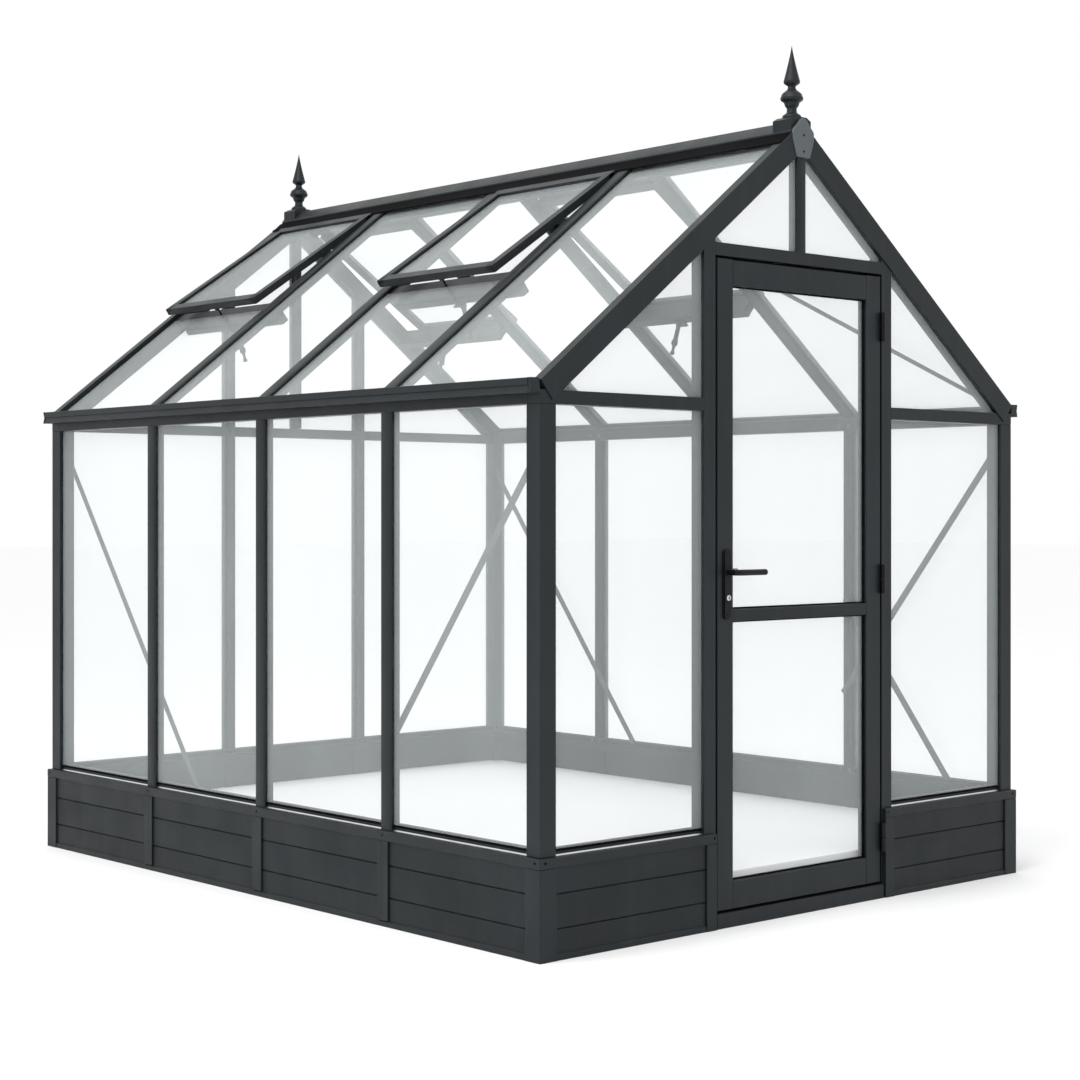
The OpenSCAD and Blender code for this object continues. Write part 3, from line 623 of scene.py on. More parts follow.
class GREENHOUSE_OT_plinth_boards(Operator):
    """Lapped boards between the plinth posts on all four sides"""

    bl_idname = "greenhouse.plinth_boards"
    bl_label = "Plinth boards"

    def execute(self, context):
        sizes = context.scene.greenhouse_sizes
        profile = board_profile(BASE_RAIL_TOP, CAP_LOW, sizes, PANEL_T)
        run_y, run_x = BASE_Y - PLINTH_POST_W, BASE_X - PLINTH_POST_W
        face_y = BASE_Y - (BASE_X - PANEL_X)
        for side, name in ((-1, "left"), (1, "right")):
            shape = sweep(profile, (side * PANEL_X, -run_y, 0), (side * PANEL_X, run_y, 0), -side * X, Z)
            board_piece(f"plinth_boards_{name}", [shape], [f"plinth_panel_{name}"])
        rear = sweep(profile, (-run_x, face_y, 0), (run_x, face_y, 0), -Y, Z)
        board_piece("plinth_boards_rear", [rear], ["plinth_panel_rear"])
        front = sweep(profile, (-run_x, -face_y, 0), (-POST_OUT, -face_y, 0), Y, Z)
        board_piece("plinth_boards_front", both_sides([front]), ["plinth_panels_front"])
        return {"FINISHED"}


class GREENHOUSE_OT_plinth_posts(Operator):
    """Plinth corner posts, joint strips and bottom rails"""

    bl_idname = "greenhouse.plinth_posts"
    bl_label = "Plinth posts, strips and rails"

    def execute(self, context):
        w = PLINTH_POST_W
        inset = BASE_X - PANEL_X
        post = [(0, 0), (w, 0), (w, 0.006), (0.006, 0.006), (0.006, w), (0, w)]
        corner = sweep(post, (-BASE_X, -BASE_Y, 0), (-BASE_X, -BASE_Y, CAP_LOW), X, Y)
        back = block((-BASE_X + 0.006, -BASE_Y + 0.006, 0), (-BASE_X + w - 0.002, -BASE_Y + w - 0.002, CAP_LOW))
        frame_piece("plinth_corners", four_corners([corner, back]), ["plinth_corner_posts"], 0.0018)
        strip = rounded(CAP_W / 2, inset / 2, 0.0015, 2)
        strips = []
        for i in range(1, BAYS):
            x, y = -BASE_X + inset / 2, bar_y(i)
            strips += both_sides([sweep(strip, (x, y, BASE_RAIL_TOP), (x, y, CAP_LOW), Y, X)])
        rear_x, rear_y = REAR_BAR_X, BASE_Y - inset / 2
        strips += both_sides([sweep(strip, (-rear_x, rear_y, BASE_RAIL_TOP), (-rear_x, rear_y, CAP_LOW), X, Y)])
        strips += both_sides([block((-POST_OUT, -BASE_Y, 0), (-PLINTH_STRIP_IN, -HALF_L, CAP_LOW))])
        frame_piece("plinth_joint_strips", strips, ["plinth_strips"])
        inside = PANEL_X - PANEL_T
        cover = [(-0.018, 0), (0.018, 0), (0.018, 0.002), (0.014, 0.005), (-0.014, 0.005), (-0.018, 0.002)]
        covers = []
        for i in range(1, BAYS):
            covers += both_sides([sweep(cover, (-inside, bar_y(i), 0), (-inside, bar_y(i), CAP_LOW), Y, X)])
        rear_in = BASE_Y - inset - PANEL_T
        covers += both_sides([sweep(cover, (-REAR_BAR_X, rear_in, 0), (-REAR_BAR_X, rear_in, CAP_LOW), X, -Y)])
        board_piece("plinth_inner_covers", covers)
        lip = [(0.002, 0), (0.040, 0), (0.040, BASE_RAIL_TOP), (0.007, BASE_RAIL_TOP), (0.002, BASE_RAIL_TOP - 0.004)]
        run_y, run_x = BASE_Y - w, BASE_X - w
        rails = both_sides([
            sweep(lip, (-BASE_X, -run_y, 0), (-BASE_X, run_y, 0), X, Z),
            sweep(lip, (-run_x, -BASE_Y, 0), (-POST_OUT, -BASE_Y, 0), Y, Z)])
        rails.append(sweep(lip, (-run_x, BASE_Y, 0), (run_x, BASE_Y, 0), -Y, Z))
        frame_piece("plinth_bottom_rails", rails, ["base_rails"], 0.0008)
        return {"FINISHED"}


class GREENHOUSE_OT_plinth_caps(Operator):
    """Cap rails round the plinth with a drip edge, a chamfer and corner screws"""

    bl_idname = "greenhouse.plinth_caps"
    bl_label = "Plinth caps"

    def execute(self, context):
        sizes = context.scene.greenhouse_sizes
        low, high, deep = CAP_LOW, PLINTH_TOP, PLINTH_CAP_DEEP
        cap = [(0.0, low + 0.001), (0.003, low), (deep, low), (deep, high), (0.0025, high), (0.0, high - 0.0025)]
        side = sweep(cap, (-BASE_X, -BASE_Y, 0), (-BASE_X, BASE_Y, 0), X, Z, (1, 0), (-1, 0))
        frame_piece("plinth_cap_rails_sides", both_sides([side]), ["plinth_cap_sides"], 0.0008)
        rear = sweep(cap, (-BASE_X, BASE_Y, 0), (BASE_X, BASE_Y, 0), -Y, Z, (1, 0), (-1, 0))
        front = sweep(cap, (-BASE_X, -BASE_Y, 0), (-POST_OUT, -BASE_Y, 0), Y, Z, (1, 0), (0, 0))
        stub = [(p[0] if p[0] < 0.02 else BASE_Y - HALF_L, p[1]) for p in cap]
        door_end = sweep(stub, (-POST_OUT - 0.001, -BASE_Y, 0), (-PLINTH_STRIP_IN, -BASE_Y, 0), Y, Z)
        frame_piece("plinth_cap_rails_ends", [rear] + both_sides([front, door_end]), ["plinth_cap_ends"], 0.0008)
        mid = (low + high) / 2 + 0.002
        r, set_in, strip_middle = sizes.screw_r, 0.020, 0.381
        heads = four_corners([screw_head((-BASE_X + 0.0005, -BASE_Y + set_in, mid), -X, r),
                              screw_head((-BASE_X + set_in, -BASE_Y + 0.0005, mid), -Y, r)])
        heads += both_sides([screw_head((-strip_middle, -BASE_Y + 0.0005, mid), -Y, r)])
        for i in range(1, BAYS):
            heads += both_sides([screw_head((-BASE_X + 0.0005, bar_y(i), mid), -X, r)])
        heads = [(c.clip([-BASE_X, -BASE_Y, 0], [BASE_X, BASE_Y, 9]), f) for c, f in heads]
        make_piece("plinth_screws", heads, "bright_steel", "house", round_edge=0)
        return {"FINISHED"}


# ---- Walls ----

def bar_profile():
    """Glazing bar seen from the end, (across, inward): crowned cap, narrow web and an inner flange."""
    c, w, t, d = CAP_W / 2, WEB_W / 2, CAP_T, BAR_D
    seal = bpy.context.scene.greenhouse_sizes.seal_t
    right = [(0.0, 0.0), (c - 0.007, 0.0004), (c - 0.002, 0.0015), (c, 0.0035), (c, t - seal), (w, t - seal),
             (w, d - 0.003), (w - 0.003, d - 0.003), (w - 0.003, d)]
    return right + [(-x, y) for x, y in right[:0:-1]]


def bar_seals_and_shade(start, end, across, inward):
    """Black strips between a bar's cap and the glass on both sides of its web. The strips under the cap are partly
    rubber seals and partly painted shade in the recess under the cap.
    """
    seal = bpy.context.scene.greenhouse_sizes.seal_t
    inner, outer = WEB_W / 2, CAP_W / 2 - 0.0015
    shapes = []
    for side in (-1, 1):
        strip = [(side * inner, CAP_T - seal), (side * outer, CAP_T - seal), (side * (outer - 0.001), CAP_T),
                 (side * inner, CAP_T)]
        bead = [(side * inner, CAP_T + GLASS_T), (side * (inner + 0.006), CAP_T + GLASS_T),
                (side * (inner + 0.004), CAP_T + GLASS_T + 0.004), (side * inner, CAP_T + GLASS_T + 0.004)]
        shapes += [sweep(strip, start, end, across, inward), sweep(bead, start, end, across, inward)]
    return shapes


class GREENHOUSE_OT_wall_posts(Operator):
    """Corner posts, side glazing bars, rear posts and gable mullions"""

    bl_idname = "greenhouse.wall_posts"
    bl_label = "Posts and glazing bars"

    def execute(self, context):
        w = POST_W
        low, high = PLINTH_TOP, POST_TOP
        hollow = [(0, 0), (w, 0), (w, REBATE), (w - 0.008, REBATE), (w - 0.008, w - 0.008),
                  (REBATE, w - 0.008), (REBATE, w), (0, w)]
        post = sweep(hollow, (-HALF_W, -HALF_L, low), (-HALF_W, -HALF_L, high), X, Y)
        inside = block((-HALF_W + CAP_T, -HALF_L + CAP_T, low), (-HALF_W + w, -HALF_L + w, high))
        frame_piece("wall_corner_posts", four_corners([post, inside]), ["corner_posts"], 0.0020)
        profile = bar_profile()
        bars, seals = [], []
        for i in range(1, BAYS):
            a, b = (-HALF_W, bar_y(i), low), (-HALF_W, bar_y(i), high)
            bars += both_sides([sweep(profile, a, b, Y, X)])
            seals += both_sides(bar_seals_and_shade(a, b, Y, X))
        frame_piece("side_glazing_bars", bars, ["wall_bars"], 0.0006)
        drop = RAFTER_DEEP / COS
        top = roof_z(REAR_BAR_X) - drop
        a, b = (-REAR_BAR_X, HALF_L, low), (-REAR_BAR_X, HALF_L, top)
        rear = sweep(profile, a, b, X, -Y, (0, 0), (TAN, 0))
        frame_piece("rear_gable_posts", both_sides([rear]), ["rear_posts"], 0.0006)
        seals += both_sides(bar_seals_and_shade(a, (a[0], a[1], top - 0.03), X, -Y))
        narrow = [(x * 0.76 if abs(x) > WEB_W / 2 + 0.001 else x, y) for x, y in profile]
        head = APEX_Z - drop - 0.012
        mullions = [sweep(narrow, (0, -HALF_L, LINTEL_TOP), (0, -HALF_L, head), X, Y),
                    sweep(narrow, (0, HALF_L, RAIL_TOP), (0, HALF_L, head), X, -Y)]
        frame_piece("gable_apex_mullions", mullions, ["gable_mullions"], 0.0006)
        seal_and_shade_piece("wall_glass_seals_and_shade", seals)
        return {"FINISHED"}


class GREENHOUSE_OT_wall_rails(Operator):
    """Sill rails with a pale nosing that is partly a painted highlight, gable rails, eave rails and the lintel"""

    bl_idname = "greenhouse.wall_rails"
    bl_label = "Wall rails"

    def execute(self, context):
        low, high = PLINTH_TOP, SILL_TOP
        sill = [(CAP_T, low), (BAR_D, low), (BAR_D, high), (BAR_D - 0.012, high), (BAR_D - 0.014, high - 0.003),
                (CAP_T + 0.003, high - 0.003), (CAP_T, high - 0.006)]
        # The nosing's pale bare aluminium is partly its own colour and partly a painted highlight line along the top
        # edge of the plinth cap.
        nosing = [(REBATE, low), (CAP_T, low), (CAP_T, low + 0.004), (CAP_T - 0.001, low + 0.004)]
        # The black seal along the sill's top is partly a rubber seal and partly painted shade on the sill's face under
        # the glass.
        seal = [(CAP_T - 0.0005, high - 0.007), (CAP_T + 0.003, high - 0.007), (CAP_T + 0.003, high),
                (CAP_T - 0.0005, high)]
        runs = []
        for near, far in (bay_span(i, POST_W) for i in range(BAYS)):
            runs.append(((-HALF_W, near, 0), (-HALF_W, far, 0), X))
        runs.append(((-HALF_W + POST_W, -HALF_L, 0), (-POST_OUT, -HALF_L, 0), Y))
        runs.append(((-HALF_W + POST_W, HALF_L, 0), (-REAR_BAR_X - WEB_W / 2, HALF_L, 0), -Y))
        profiles = {"sill": sill, "nosing": nosing, "seal": seal}
        made = {key: [] for key in profiles}
        for a, b, inward in runs:
            for key, profile in profiles.items():
                made[key] += both_sides([sweep(profile, a, b, inward, Z)])
        a, b = (-REAR_BAR_X + WEB_W / 2, HALF_L, 0), (REAR_BAR_X - WEB_W / 2, HALF_L, 0)
        for key, profile in profiles.items():
            made[key].append(sweep(profile, a, b, -Y, Z))
        frame_piece("sill_rails_under_glass", made["sill"], ["sill_rails"], 0.0006)
        make_piece("sill_highlight_nosings", made["nosing"], "bare_aluminium_highlight", "house", round_edge=0.0004)
        seal_and_shade_piece("sill_seals_and_shade", made["seal"])
        groove = [(0, POST_TOP + 0.0015), (0.0015, POST_TOP), (GABLE_D, POST_TOP), (GABLE_D, RAIL_TOP - 0.004),
                  (REBATE, RAIL_TOP - 0.004), (REBATE, RAIL_TOP), (0, RAIL_TOP)]
        c = CAP_W / 2
        rails = both_sides([
            sweep(groove, (-HALF_W, -HALF_L, 0), (-POST_OUT, -HALF_L, 0), Y, Z),
            sweep(groove, (-HALF_W, HALF_L, 0), (-REAR_BAR_X - c, HALF_L, 0), -Y, Z)])
        rails.append(sweep(groove, (-REAR_BAR_X + c, HALF_L, 0), (REAR_BAR_X - c, HALF_L, 0), -Y, Z))
        frame_piece("gable_rails_at_eaves", rails, ["gable_rails"])
        drop = (CAP_T + GLASS_T) / COS + 0.0003
        web, high = 0.020, POST_TOP + 0.046
        eave = [(0, POST_TOP), (GABLE_D, POST_TOP), (GABLE_D, high - 0.002), (GABLE_D - 0.004, high),
                (web, high), (web, roof_z(HALF_W - web) - drop), (0, EAVE_Z - drop)]
        run = HALF_L - GABLE_D
        beams = both_sides([sweep(eave, (-HALF_W, -run, 0), (-HALF_W, run, 0), X, Z)])
        frame_piece("eave_beams", beams, ["eave_rails"])
        head = [(0, LINTEL_LOW), (GABLE_D, LINTEL_LOW), (GABLE_D, LINTEL_TOP - 0.004),
                (REBATE, LINTEL_TOP - 0.004), (REBATE, LINTEL_TOP), (0, LINTEL_TOP)]
        lintel = sweep(head, (-POST_IN, -HALF_L, 0), (POST_IN, -HALF_L, 0), Y, Z)
        frame_piece("door_lintel", [lintel], ["lintel"])
        return {"FINISHED"}


class GREENHOUSE_OT_gutters(Operator):
    """Stepped gutters with end caps"""

    bl_idname = "greenhouse.gutters"
    bl_label = "Gutters"

    def execute(self, context):
        low, high = node_box("gutters")[0][2], node_box("gutters")[1][2]
        out = node_box("gutters")[1][0] - HALF_W
        t = 0.0025
        mid = low + 0.020
        outline = [(0, low), (-out, low), (-out + 0.001, low + 0.002), (-out + 0.005, mid),
                   (-out + 0.0015, mid + 0.001), (-out, high - 0.001), (-out + t + 0.002, high),
                   (-out + t + 0.002, high - 0.003), (-out + t + 0.001, high - 0.004),
                   (-out + t + 0.003, mid + 0.002), (-out + t + 0.006, mid), (-out + t + 0.001, low + t),
                   (-t, low + t), (-t, RAIL_TOP), (0, RAIL_TOP)]
        run = HALF_L - 0.012
        trough = sweep(outline, (-HALF_W, -run, 0), (-HALF_W, run, 0), X, Z)
        cap = [(0, low), (-out, low), (-out + 0.004, mid), (-out, high), (-0.004, high), (0, RAIL_TOP)]
        end = sweep(cap, (-HALF_W, -HALF_L, 0), (-HALF_W, -HALF_L + 0.010, 0), X, Z)
        frame_piece("eave_gutters", both_sides([trough, end, flipped(end, 1)]), ["gutters"], 0.0004)
        return {"FINISHED"}


# ---- Roof ----

def slope_frame(side):
    """The eave corner, the way up the slope and the way out of it, on the left (-1) or right (+1)."""
    c, s = math.cos(PITCH), math.sin(PITCH)
    return np.array([side * HALF_W, 0, EAVE_Z]), np.array([-side * c, 0, s]), np.array([side * s, 0, c])


class GREENHOUSE_OT_roof_bars(Operator):
    """Gable rafters, roof glazing bars and their seals"""

    bl_idname = "greenhouse.roof_bars"
    bl_label = "Rafters and roof bars"

    def execute(self, context):
        deep, proud, cap = RAFTER_DEEP, 0.004, 0.030
        length = HALF_W / COS
        below_glass = -CAP_T - GLASS_T - 0.001
        rafter = [(-proud, 0), (-proud, -deep), (REBATE, -deep), (REBATE, -deep + 0.004),
                  (GABLE_D, -deep + 0.004), (GABLE_D, below_glass), (cap, below_glass), (cap, 0), (cap - 0.004, 0)]
        for side, name in ((-1, "left"), (1, "right")):
            foot, up, out = slope_frame(side)
            start = foot + np.array([0, -HALF_L, 0])
            end = start + up * length
            front = sweep(rafter, start, end, Y, out, (0, 0), (0, TAN))
            frame_piece(f"gable_rafter_{name}", [front, flipped(front, 1)], [f"gable_rafters_{name}"])
        profile = bar_profile()
        bars, seals = [], []
        start, end = -0.020, length - BEAM_HALF / COS
        foot, up, out = slope_frame(-1)
        for i in range(1, BAYS):
            at = foot + Y * bar_y(i)
            bars += both_sides([sweep(profile, at + up * start, at + up * end, Y, -out, (0, 0), (0, -TAN))])
            seals += both_sides(bar_seals_and_shade(at + up * start, at + up * (end - 0.02), Y, -out))
        bars = [(c.clip([-9, -9, POST_TOP + 0.002], [9, 9, 9]), f) for c, f in bars]
        frame_piece("roof_glazing_bars", bars, ["roof_bars"], 0.0006)
        seal_and_shade_piece("roof_glass_seals_and_shade", seals)
        return {"FINISHED"}


class GREENHOUSE_OT_ridge(Operator):
    """Ridge beam, capping, apex plates with screws and turned finials"""

    bl_idname = "greenhouse.ridge"
    bl_label = "Ridge and finials"

    def execute(self, context):
        sizes = context.scene.greenhouse_sizes
        crown, lip = CROWN_HALF, 0.007
        edge = roof_z(crown) + 0.0002
        right = [(0.0, RIDGE_TOP), (0.011, RIDGE_TOP), (0.014, RIDGE_TOP - 0.0012), (crown, edge + lip),
                 (crown, edge)]
        left = [(-x, z) for x, z in right[:0:-1]]
        capping = sweep(right + [(0.0, APEX_Z)] + left, (0, -HALF_L, 0), (0, HALF_L, 0), X, Z)
        outer, outer_z = RIDGE_CAP_HALF, roof_z(RIDGE_CAP_HALF) + 0.0002
        # The wings are black rubber laid on the glass beside the capping. Their black is partly a seal's own colour
        # and partly painted shade for the dark band under the capping, which the sky would otherwise light.
        wing = [(crown, edge), (crown, edge + 0.003), (crown + 0.008, edge - 0.0042),
                (crown + 0.010, edge - 0.0028), (outer - 0.012, outer_z + 0.012), (outer - 0.003, outer_z + lip),
                (outer, outer_z + 0.005), (outer, outer_z)]
        shade_wings = both_sides([sweep(wing, (0, -HALF_L, 0), (0, HALF_L, 0), X, Z)])
        make_piece("ridge_shade_wings", shade_wings, "black_rubber_and_shade", "house", round_edge=0.0006)
        w, low = BEAM_HALF, RIDGE_LOW
        lip_in = w - 0.006
        beam = [(-w, low), (-lip_in, low), (-lip_in, low + 0.003), (lip_in, low + 0.003), (lip_in, low), (w, low),
                (w, roof_z(w)), (0, RIDGE_TOP - 0.001), (-w, roof_z(w))]
        run = HALF_L - GABLE_D
        frame_piece("ridge_beam", [capping, sweep(beam, (0, -run, 0), (0, run, 0), X, Z)], ["ridge"], 0.0008)
        plate_low, plate_high = node_box("apex_plates")
        half, foot, top = plate_high[0], plate_low[2], plate_high[2]
        t = -HALF_L - plate_low[1]
        side = [(0.005, top), (0.014, top - 0.004), (0.24 * half + 0.014, top - 0.018), (half - 0.004, top - 0.034),
                (half, top - 0.040), (half, top - 0.062), (0.68 * half, foot + 0.008), (0.60 * half, foot)]
        outline = side + [(-x, z) for x, z in side[::-1]]
        plate = sweep(outline, (0, -HALF_L - t, 0), (0, -HALF_L, 0), X, Z)
        make_piece("apex_cover_plates", [plate, flipped(plate, 1)], "plate_paint", "house",
                   ["apex_plates"], 0.0030)
        heads = []
        for drop in (0.050, 0.098):
            head = screw_head((0, -HALF_L - t + 0.0002, top - drop), -Y, 0.0035)
            heads += [head, flipped(head, 1)]
        fitting_piece("apex_screws", heads)
        self.finials(sizes)
        return {"FINISHED"}

    def finials(self, sizes):
        """Two turned finials on their saddles."""
        tip = node_box("finials")[1][2]
        foot = tip - FINIAL_H
        centre = -HALF_L + FINIAL_SET_IN
        spire_foot = 0.112
        keys = [(0.0285, 0.0), (0.0285, 0.005), (0.0150, 0.020), (0.0145, 0.028), (0.021, 0.040), (0.0225, 0.045),
                (0.0335, 0.056), (0.0340, 0.060), (0.0310, 0.068), (0.0120, 0.090), (0.0115, 0.094), (0.0240, 0.106),
                (0.0245, 0.110)]
        body = flowing(keys, 6)
        t = np.linspace(0, 1, 24)
        spire = np.stack([0.0005 + 0.0235 * (1 - t) ** 1.18, spire_foot + (FINIAL_H - spire_foot) * t], 1)
        outline = np.vstack([body, spire])
        turned = lathe(outline, (0, centre, foot), Z, sizes.finial_sides)
        half, flat = 0.044, 0.012
        fall = (RIDGE_TOP - roof_z(CROWN_HALF) - 0.0072) / (CROWN_HALF - flat)
        edge = RIDGE_TOP - (half - flat) * fall - 0.001
        saddle = [(-0.026, foot + 0.001), (0.026, foot + 0.001), (half, foot - 0.009), (half, edge),
                  (flat, RIDGE_TOP - 0.001), (-flat, RIDGE_TOP - 0.001), (-half, edge), (-half, foot - 0.009)]
        base = sweep(saddle, (0, centre - 0.036, 0), (0, centre + 0.036, 0), X, Z)
        frame_piece("ridge_finials", [turned, base, flipped(turned, 1), flipped(base, 1)], ["finials"], 0.0006)


# ---- Vents ----

def vent_frame(side):
    """The hinge line's place, the way down the raised vent and the way out of it."""
    a = PITCH - VENT_OPEN
    hinge_z = roof_z(RIDGE_CAP_HALF) + 0.0072
    origin = np.array([side * RIDGE_CAP_HALF, 0, hinge_z])
    return origin, np.array([side * math.cos(a), 0, -math.sin(a)]), np.array([side * math.sin(a), 0, math.cos(a)])


class GREENHOUSE_OT_vents(Operator):
    """Raised roof vents: stiles, rails, sills and openers"""

    bl_idname = "greenhouse.vents"
    bl_label = "Roof vents"

    def execute(self, context):
        width, deep, length, half = VENT_BAR, VENT_T, VENT_L, VENT_HALF
        frame_bar = [(0, 0), (0, -deep), (0.006, -deep), (width - 0.002, -deep), (width - 0.002, -deep + 0.006),
                     (width - 0.012, -deep + 0.006), (width - 0.012, -0.010), (width, -0.010), (width, -0.0015),
                     (width - 0.0015, 0)]
        rail = [(0, 0), (0, -deep), (0.004, -deep), (width - 0.002, -deep), (width, -0.010), (width, 0)]
        w, t = VENT_SILL_W, VENT_SILL_DEEP
        sill = [(0, 0), (w, 0), (w, -t), (0.004, -t), (0, -t + 0.004), (0, -t + 0.022), (0.003, -t + 0.023),
                (0.003, -t + 0.026), (0, -t + 0.027)]
        lip = [(-0.0125, 0), (0.001, 0), (0.001, -GLASS_T), (-0.0125, -GLASS_T)]
        top_rail, arm_room = 0.034, 0.007
        stiles, rails, sills, seals = [], [], [], []
        origin, down, out = vent_frame(-1)
        foot, up, normal = slope_frame(-1)
        for i in VENT_BAYS:
            mid = Y * (bar_y(i) + BAY / 2)
            at = origin + mid
            for s in (-1, 1):
                edge = at + Y * s * half
                stiles += both_sides([sweep(frame_bar, edge + down * 0.012, edge + down * length, -s * Y, out)])
                bead = [(width - 0.0005, -0.0095), (width + 0.003, -0.0095), (width - 0.0005, -0.006)]
                seals += both_sides([sweep(bead, edge + down * width, edge + down * (length - width), -s * Y, out)])
            for place, reach in ((at + down * length, half - 0.0005), (at + down * top_rail, half)):
                rails += both_sides([sweep(rail, place - Y * reach, place + Y * reach, -down, out)])
            near, far = bay_span(i, GABLE_D)
            place = foot + up * VENT_SILL_U - normal * CAP_T
            sills += both_sides([sweep(sill, place + Y * near, place + Y * far, up, normal)])
            for y0, y1 in ((near, mid[1] - arm_room), (mid[1] + arm_room, far)):
                sills += both_sides([sweep(lip, place + Y * y0, place + Y * y1, up, normal)])
        frame_piece("vent_side_stiles", stiles, ["vent_stiles"], 0.0008)
        frame_piece("vent_cross_rails", rails, ["vent_rails"], 0.0008)
        make_piece("vent_sill_bars", sills, "fitting_black", "house", ["vent_sills"], 0.0008)
        seal_and_shade_piece("vent_seals", seals)
        self.openers()
        return {"FINISHED"}

    def openers(self):
        """A clamp under each sill, a stay up to the vent's lower rail and a hanging cylinder."""
        origin, _, out = vent_frame(-1)
        foot, up, normal = slope_frame(-1)
        hang = unit((0.309, 0, -0.951))
        shapes = []
        for i in VENT_BAYS:
            mid = Y * (bar_y(i) + BAY / 2)
            base = foot + up * VENT_SILL_U - normal * CAP_T + mid
            under = base - normal * VENT_SILL_DEEP
            clamp = rounded(0.020, 0.021, 0.003, 2)
            shapes.append(sweep(clamp, under + up * 0.011, under + up * 0.011 - normal * 0.0055, up, Y))
            rail = base - up * 0.005
            reach = ((origin + mid - rail) @ out - VENT_T) / (normal @ out)
            top = rail + normal * reach
            for s in (-1, 1):
                ear = rounded(0.010, 0.0065, 0.003, 3)
                at = top - normal * 0.0072 + up * 0.002
                shapes.append(sweep(ear, at + Y * s * 0.0066, at + Y * s * 0.0046, up, normal))
            rod = rail - normal * (VENT_SILL_DEEP + 0.001)
            pin = top - normal * 0.006
            shapes.append(lathe([(0.0036, 0), (0.0036, np.linalg.norm(pin - rod))], rod, pin - rod, 14))
            rivet = [(0.0022, -0.0068), (0.0038, -0.0060), (0.0038, 0.0060), (0.0022, 0.0068)]
            shapes.append(lathe(rivet, pin, Y, 12))
            start = under - normal * 0.005 + up * 0.016
            cylinder = [(0.006, 0.0), (0.0105, 0.002), (0.0105, 0.014), (0.0078, 0.018), (0.0078, 0.066),
                        (0.0105, 0.070), (0.0105, 0.084), (0.0065, 0.088), (0.0050, 0.094), (0.0050, 0.108),
                        (0.0075, 0.110), (0.0075, 0.118), (0.004, 0.120)]
            shapes.append(lathe(cylinder, start, hang, 20))
            elbow = start + hang * 0.077
            shapes.append(lathe([(0.0062, 0.004), (0.0062, 0.0108), (0.003, 0.0109)], elbow, Y, 12))
        fitting_piece("vent_opener_stays", both_sides(shapes), "house", ["vent_openers"], 0.0005)


class GREENHOUSE_OT_braces(Operator):
    """Flat braces inside the walls and the roof, with their bolts"""

    bl_idname = "greenhouse.braces"
    bl_label = "Braces and bolts"

    def execute(self, context):
        half, face = 0.012, 0.0025
        flat = [(-half, 0), (half, 0), (half, 0.001), (half - 0.003, face), (-half + 0.003, face), (-half, 0.001)]
        drop, rise, crossing_run, crossing_rise = 0.118, 1.27, 0.450, 1.32
        depth = -HALF_W + BAR_D
        top_z, sill_z = POST_TOP - drop, PLINTH_TOP + 0.012
        end_y = -HALF_L + POST_W - 0.008
        run = (top_z - sill_z) / rise
        high, low = np.array([depth, end_y, top_z + 0.010]), np.array([depth, end_y + run, sill_z])
        bar_1 = bar_y(1)
        short = high + (low - high) * (bar_1 + 0.010 - end_y) / run
        straps = both_sides([strap(flat, high, short, X), flipped(strap(flat, high, low, X), 1)])
        a = np.array([depth + face + 0.0001, bar_1 - crossing_run, sill_z])
        b = a + (0, crossing_run, crossing_run * crossing_rise)
        straps.append(flipped(strap(flat, a, b, X), 0))
        make_piece("wall_brace_straps", straps, "brace_paint", "house", ["wall_braces"], 0.0004)
        foot, up, out = slope_frame(1)
        foot = foot - out * (BAR_D + 0.0005)
        above_eave, below_ridge = 0.092, 0.430
        start = foot + up * above_eave + Y * (-HALF_L + GABLE_D - 0.008)
        end = foot + up * (HALF_W / COS - below_ridge) + Y * bar_1
        make_piece("roof_brace_strap", [strap(flat, start, end, -out)], "brace_paint", "house",
                   ["roof_brace"], 0.0004)
        bolts = []
        inward = X * face
        for s in bolt_end(high + inward, X, 0.006):
            bolts += four_corners([s])
        bolts += both_sides(bolt_end(short + inward - Y * 0.010 + Z * 0.0127, X, 0.006))
        bolts += [flipped(s, *axes) for s in bolt_end(low + inward, X, 0.006) for axes in ((1,), (0, 1))]
        aside, last_y = 0.022, HALF_L - POST_W - 0.012
        for i in range(BAYS + 1):
            for z, depth in ((POST_TOP + 0.016, GABLE_D), (SILL_TOP - 0.009, BAR_D)):
                for dy in (-aside, aside):
                    y = np.clip(bar_y(i) + dy, -last_y, last_y)
                    bolts += both_sides(bolt_end((-HALF_W + depth, y, z), X, 0.0055))
        make_piece("inner_bolts", bolts, "plate_paint", "house", round_edge=0)
        return {"FINISHED"}


def strap(profile, start, end, face):
    """A flat strip from start to end whose outer face looks along face."""
    side = unit(np.cross(end - start, face))
    return sweep(profile, start, end, side, face)


# ---- Door ----

